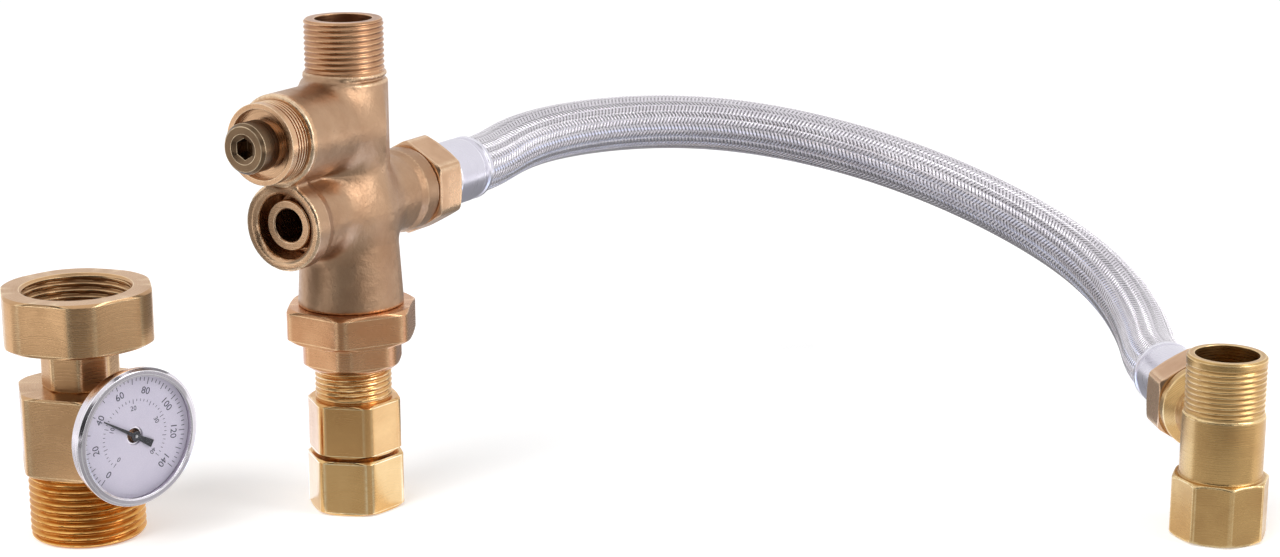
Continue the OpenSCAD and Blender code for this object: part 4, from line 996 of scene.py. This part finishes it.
def make_adjuster():
    ribs = [(r, CARTRIDGE_BOSS_L + RIB_PITCH * (i + 0.5) + rise) for i in range(4)
            for r, rise in ((13.3, 0), (12.5, 0.12), (12.5, 0.55), (13.3, 0.67))]
    turned("adjuster_bonnet_turned", "bonnet_brass", [
        (4.08, 30), (11.75, 30), (11.75, 38.05), (13.3, 38.05), *ribs, (13.3, 46), (11.5, 46),
        (11.5, 43.6), (7.25, 43.6), (7.25, 46), (4.08, 46), (4.08, 41.5), (5, 41.5), (5, 31.5),
        (4.08, 31.5)],
        ["adjuster_bonnet"], CARTRIDGE, "machined_brass", steps=112, radius=0.15)
    # The spindle takes the darker brass: partly tarnish, partly painted shade.
    turned("adjuster_spindle_turned", "bonnet_brass", [
        (0, 19), (3, 19), (3, 27), (4, 27), (4, 28.1), (3.2, 28.1), (3.2, 29.5), (4, 29.5),
        (4, 46.3), (8.25, 46.3), (8.25, 53.4), (7.3, 54.6), (4.9, 54.6), (3.1, 53.7, "key"),
        (3.0, 53.4, "key"), (3.0, 48.6, "key"), (0, 48.6)],
        ["adjuster_spindle"], CARTRIDGE, "patina_brass", "spindle", socket=(6, 6, 0), radius=0.2)
    turned("port_insert_turned", "bonnet_brass", [
        (5.5, 14), (8.9, 14), (8.9, 24), (8.45, 24), (8.45, 32.6), (8.05, 33), (5.9, 33),
        (5.5, 32.6)],
        ["port_insert"], SIDE_PORT, "machined_brass", radius=0.15)


def make_hose_ends():
    for end, place, body in (("valve_end", VALVE_END, "valve_nut"),
                             ("tee_end", TEE_END, "tee_nut")):
        turned(end + "_hexagon_nut", "nut_brass", [
            (10.75, 0.3), *flats(16.35, 0.3, 13.5, 1.25, 0.75), (13.1, 13.5), (11.5, 17.5),
            (HOSE_TAIL_R, 17.5), (HOSE_TAIL_R, 14.1), (10.75, 14.1)],
            [end + "_nut"], place, "hose_nut_brass", body, prism=(6, 29, 0), steps=156)
        turned(end + "_crimped_ferrule", "ferrule", [
            (HOSE_TAIL_R, FERRULE_Z), (10.8, FERRULE_Z, "", 0.8), (11.4, FERRULE_Z + 0.9, "", 1.0),
            (11.4, 33.4, "", 1.4), (10.9, 34.7, "", 0.5), (10.9, 36.2, "", 0.5),
            (11.4, 36.9, "", 0.6), (11.4, 38.2, "", 0.6), (11.0, 39), (10.5, 39), (10.3, 38.6),
            (10.3, 20), (HOSE_TAIL_R, 20)],
            [end + "_ferrule"], place, radius=0.3)


def make_tee_threads():
    pipe_thread("tee_top_thread", TEE, TEE_BODY_Z, TEE_TOP, 10.5, "tee_brass", lead=2.2)
    turned("tee_socket_thread", "tee_brass", [
        (SOCKET_R, 0.9, "thread"), (12.8, 0.15), (13.3, 0.15), (13.3, 16.9),
        (SOCKET_R, 16.9, "thread")],
        place=TEE, steps=112, thread=(0.6, 16.2, PIPE_PITCH, SOCKET_DEPTH))


def make_unit():
    unit_body = turned("unit_body_turned", "union_brass", [
        (UNIT_BORE_R, 0), (18.1, 0), (18.95, 0.8, "thread"), (18.95, UNIT_HEX_Z - 0.8, "thread"),
        (18.2, UNIT_HEX_Z), *flats(22.5, UNIT_HEX_Z, NECK_Z), (11, NECK_Z), (11, 44.2),
        (UNIT_BORE_R, 44.2)],
        ["unit_body"], UNIT, body="thermo_unit", prism=(6, 40, DIAL_ANGLE + 30), steps=180,
        thread=(0.2, UNIT_HEX_Z - 0.4, UNION_PITCH, 1.1, 1.2))
    second_finish(unit_body, "union_thread", lambda x, y, z: z < UNIT_HEX_Z - 0.1)
    turned("unit_neck", "union_brass", [
        (UNIT_BORE_R, 44.5), (11, 44.5), (11, NECK_Z), *flats(12.75, NECK_Z, 65.4, 0.55, 0.5),
        (11.9, 65.4), (11.9, 69), (17.1, 69), (17.1, 71.5), (UNIT_BORE_R, 71.5)],
        ["unit_tailpiece"], UNIT, body="thermo_unit", prism=(8, 24, NECK_TURN), steps=160)
    turned("union_nut_turned", "union_brass", [
        (11.98, UNION_Z), *flats(25.7, UNION_Z, UNION_TOP), (18.4, UNION_TOP),
        (17.5, 83.1, "thread"), (17.5, 73.9, "thread"), (18.1, 73.8), (18.1, 68.7), (11.98, 68.7)],
        ["union_nut"], UNIT, body="union", prism=(6, 48, UNION_TURN), steps=192,
        thread=(74, 9.4, UNION_PITCH, -1.0, 1.0))


def make_dial():
    turned("thermometer_case_drawn", "polished_steel", [
        (3.05, 0), (20.9, 0), (21.8, 0.9), (21.8, 5.6), (21.0, 5.6), (21.0, 0.8), (3.05, 0.8)],
        ["thermometer_case"], CASE, body="thermo_unit", steps=128)
    turned("thermometer_bezel_rolled", "polished_steel", [
        (21.85, 4), (22.5, 4), (23, 4.8), (23, 6.1), (22.1, 7), (20.8, 7), (20.2, 6.85),
        (20.2, 6.72), (21.85, 6.72)],
        ["thermometer_bezel"], CASE, body="thermo_unit", steps=144, radius=0.35)
    make_scale()


def scale_ticks(tree, inputs):
    """Ticks round an arc, with a longer one every few."""
    index = add(tree, "GeometryNodeInputIndex")
    angle = (0.5 - index / (inputs["Count"] - 1.0)) * inputs["Sweep"] + math.pi
    is_long = calc("LESS_THAN", calc("MODULO", index, inputs["Long every"]), 0.5)
    length = add(tree, "ShaderNodeMix", is_long, None, inputs["Short tick"], inputs["Long tick"],
                 data_type="FLOAT")
    middle = inputs["Outer radius"] - length * 0.5
    place = joined(calc("COSINE", angle) * middle, calc("SINE", angle) * middle)
    points = add(tree, "GeometryNodeMeshLine", Count=inputs["Count"], Offset=(0.0, 0.0, 0.0))
    points = add(tree, "GeometryNodeSetPosition", points, Position=place)
    turn = add(tree, "FunctionNodeEulerToRotation", joined(0.0, 0.0, angle))
    return add(tree, "GeometryNodeInstanceOnPoints", points, Rotation=turn,
               Instance=add(tree, "GeometryNodeMeshCube", Size=(1.0, 1.0, 1.0)),
               Scale=joined(length, inputs["Width"], inputs["Height"]))


def make_scale():
    """Two plain scales: an outer ring of ticks with numbers, and a smaller one inside it."""
    tree = geometry_group("scale ticks", {
        "Count": 29, "Sweep": 4.7, "Outer radius": 0.02, "Long tick": 0.0026,
        "Short tick": 0.0016, "Width": 0.0003, "Long every": 4, "Height": 0.00008}, scale_ticks)
    face = Matrix.Scale(MM, 4) @ CASE @ Matrix.Translation((0, 0, DIAL_FACE))
    whole = bmesh.new()
    for count, outer, long_tick, short_tick, every, width in (
            (57, 19.4, 2.2, 1.2, 4, 0.22), (41, 12.3, 1.5, 0.8, 5, 0.18)):
        blank = new_mesh("scale_start", [(0, 0, 0)])
        ring = grown("scale_ring", blank, tree, FINISH["dial_ink"], {
            "Outer radius": outer, "Long tick": long_tick, "Short tick": short_tick,
            "Width": width, "Height": PRINT_H},
            {"Count": count, "Sweep": math.radians(DIAL_SWEEP), "Long every": every})
        ring.transform(face @ Matrix.Scale(1 / MM, 4))
        whole.from_mesh(ring)
    for labels, radius, height in (([20 * i for i in range(8)], 15.0, 2.5),
                                   ([10 * i for i in range(5)], 9.2, 1.7)):
        for i, label in enumerate(labels):
            clock = math.radians(DIAL_SWEEP * (i / (len(labels) - 1) - 0.5))
            spot = Matrix((
                (math.sin(clock), -math.cos(clock), 0, -radius * math.cos(clock)),
                (math.cos(clock), math.sin(clock), 0, radius * math.sin(clock)),
                (0, 0, 1, 0), (0, 0, 0, 1)))
            whole.from_mesh(number_mesh(str(label), height, face @ spot))
    mesh = new_mesh("dial_scale", [], material=FINISH["dial_ink"])
    whole.to_mesh(mesh)
    whole.free()
    finish_piece(new_object("dial_scale", mesh), "thermo_unit", "dial_ink", "dial_marks")


def number_mesh(label, height, place):
    """A plain number as a thin raised mesh, centred on its place."""
    curve = bpy.data.curves.new("number", "FONT")
    curve.body, curve.size = label, height * TYPE_SIZE
    curve.extrude, curve.resolution_u = PRINT_H / 2, 3
    curve.align_x, curve.align_y = "CENTER", "CENTER"
    holder = new_object("number", curve)
    graph = bpy.context.evaluated_depsgraph_get()
    mesh = bpy.data.meshes.new_from_object(holder.evaluated_get(graph))
    bpy.data.objects.remove(holder)
    mesh.transform(place)
    return mesh


# ---- Floor, lamps and background ----

FLOOR_HALF, FLOOR_DROP = 20, 0.0003


def background_shows(tree):
    """1 for the rays that see the background: the camera's, and those from gloss and glass."""
    rays = add(tree, "ShaderNodeLightPath")
    seen = rays["Is Camera Ray"] + rays["Is Glossy Ray"] + rays["Is Transmission Ray"]
    return calc("MINIMUM", seen, 1.0)


def stage_mesh(name, corners, material):
    """A flat stage object from its corners, in metres."""
    made = new_object(name, new_mesh(name, corners, [], [range(len(corners))], material))
    return made


def make_stage():
    world = bpy.data.worlds.new("soft_studio")
    bpy.context.scene.world = world
    world.use_nodes = True
    tree = world.node_tree
    fill(tree.nodes["Background"], WHITE, ramp(background_shows(tree), 0, 1, 0.5, 1.0))
    material, tree, shader = new_material("floor_white")
    fill(shader, Base_Color=(0.86, 0.86, 0.86, 1), Roughness=1.0, Specular_IOR_Level=0.0,
         Emission_Color=WHITE, Emission_Strength=ramp(background_shows(tree), 0, 1, 0.0, 0.35))
    stage_mesh("floor", [(x * FLOOR_HALF, y * FLOOR_HALF, -FLOOR_DROP)
                         for x, y in ((-1, -1), (1, -1), (1, 1), (-1, 1))], material)


def hang_lamps():
    sun = bpy.data.lights.new("high_soft_light", "SUN")
    sun.energy, sun.angle = 1.1, math.radians(35)
    lamp = new_object("high_soft_light", sun)
    lamp.rotation_euler = (math.radians(32), math.radians(-24), 0)
    lamp.visible_glossy = False
    for name, spot, aim, size, power in (
            ("left_softbox", (-0.75, -0.7, 0.75), (0.05, 0.0, 0.08), (0.5, 0.7), 4.0),
            ("right_softbox", (0.95, -0.35, 0.65), (0.1, 0.0, 0.08), (0.35, 0.8), 3.0)):
        data = bpy.data.lights.new(name, "AREA")
        data.shape, data.size, data.size_y = "RECTANGLE", *size
        data.energy = power
        box = new_object(name, data)
        box.location = spot
        box.rotation_euler = (Vector(aim) - Vector(spot)).to_track_quat("-Z", "Y").to_euler()
        box.visible_glossy = name == "right_softbox"


# Name, strength, and corners in millimetres. A corner without a height is on the floor.
CARDS = (
    ("foot_grey_card", 0.55, [(-50, -20), (-84, -70), (165, -70), (165, -25), (30, -14)]),
    ("near_grey_card", 0.42, [(-84, -70), (-160, -150), (165, -120), (165, -70)]),
    ("middle_grey_card", 0.42,
     [(-160, -150), (-220, -270), (470, -270), (470, -150), (165, -120)]),
    ("front_grey_card", 0.15, [(-220, -270), (-430, -700), (560, -700), (470, -270)]),
    ("tee_card", 0.7, [(165, -25), (165, -120), (350, -138), (350, -52), (325, -48)]),
    ("tee_side_card", 0.67, [(350, -52), (350, -138), (470, -150), (520, -60)]),
    ("unit_side_card", 0.5, [(-115, -40), (-420, -40), (-420, -215), (-180, -215)]),
    ("right_bright_card", 1.6, [(20, -8), (240, -30), (240, 55), (17, 12)]),
    ("far_right_bright_card", 1.2, [(308, -40), (520, -60), (520, 160), (306, -22)]),
    ("left_bright_card", 1.5, [(-18, 2), (-170, 60), (-170, 300), (-12, 18)]),
    ("right_front_bright_card", 1.8,
     [(475, -150), (570, -700), (1200, -700), (1200, -60), (525, -60)]),
    ("right_back_bright_card", 2.3, [(340, 170), (340, 420), (900, 420), (900, 170)]),
    ("under_hose_card", 0.32, [(30, 75), (270, 60), (330, 60), (330, 420), (30, 420)]),
    ("high_grey_card", 0.1,
     [(-1500, -1000, 420), (1500, -1000, 420), (1500, -900, 760), (-1500, -900, 760)]),
    ("horizon_bright_card", 1.7,
     [(560, -1000), (1500, -1000), (1500, -1000, 330), (560, -1000, 330)]),
    ("horizon_dark_card", 0.05,
     [(-1500, -1000, 40), (560, -1000, 40), (560, -1000, 420), (-1500, -1000, 420)]),
    ("overhead_dark_card", 0.1,
     [(-300, -440, 1200), (700, -440, 1200), (700, -220, 1200), (-300, -220, 1200)]),
    ("between_pale_card", 1.0,
     [(-45, -38, 25), (-45, -5, 25), (-45, -5, 64), (-45, -38, 64)]),
    ("between_dark_card", 0.3,
     [(-45, -38, 64), (-45, -5, 64), (-45, -5, 115), (-45, -38, 115)]))
COOL_CARDS = ("right_bright_card", "left_bright_card")
CARD_DROP = 0.0001


def hang_cards():
    """Dark and bright reflector cards round the object: only glossy rays see them."""
    for name, strength, corners in CARDS:
        material, tree, _ = new_material(name)
        glow = add(tree, "ShaderNodeEmission", COOL if name in COOL_CARDS else WHITE, strength)
        fill(tree.nodes["Material Output"], Surface=glow)
        spots = [(*corner, 0)[:3] for corner in corners]
        card = stage_mesh(name, [(x * MM, y * MM, z * MM - CARD_DROP) for x, y, z in spots],
                          material)
        card.visible_camera = card.visible_diffuse = card.visible_shadow = False
        card.visible_transmission = card.visible_volume_scatter = False


hang_camera()
braid_the_hose()
dress_inner_parts()
make_springs()
make_castings()
make_valve_stack()
make_adjuster()
make_hose_ends()
make_tee_threads()
make_unit()
make_dial()
make_stage()
hang_cards()
hang_lamps()
bpy.context.scene.view_settings.view_transform = "Standard"
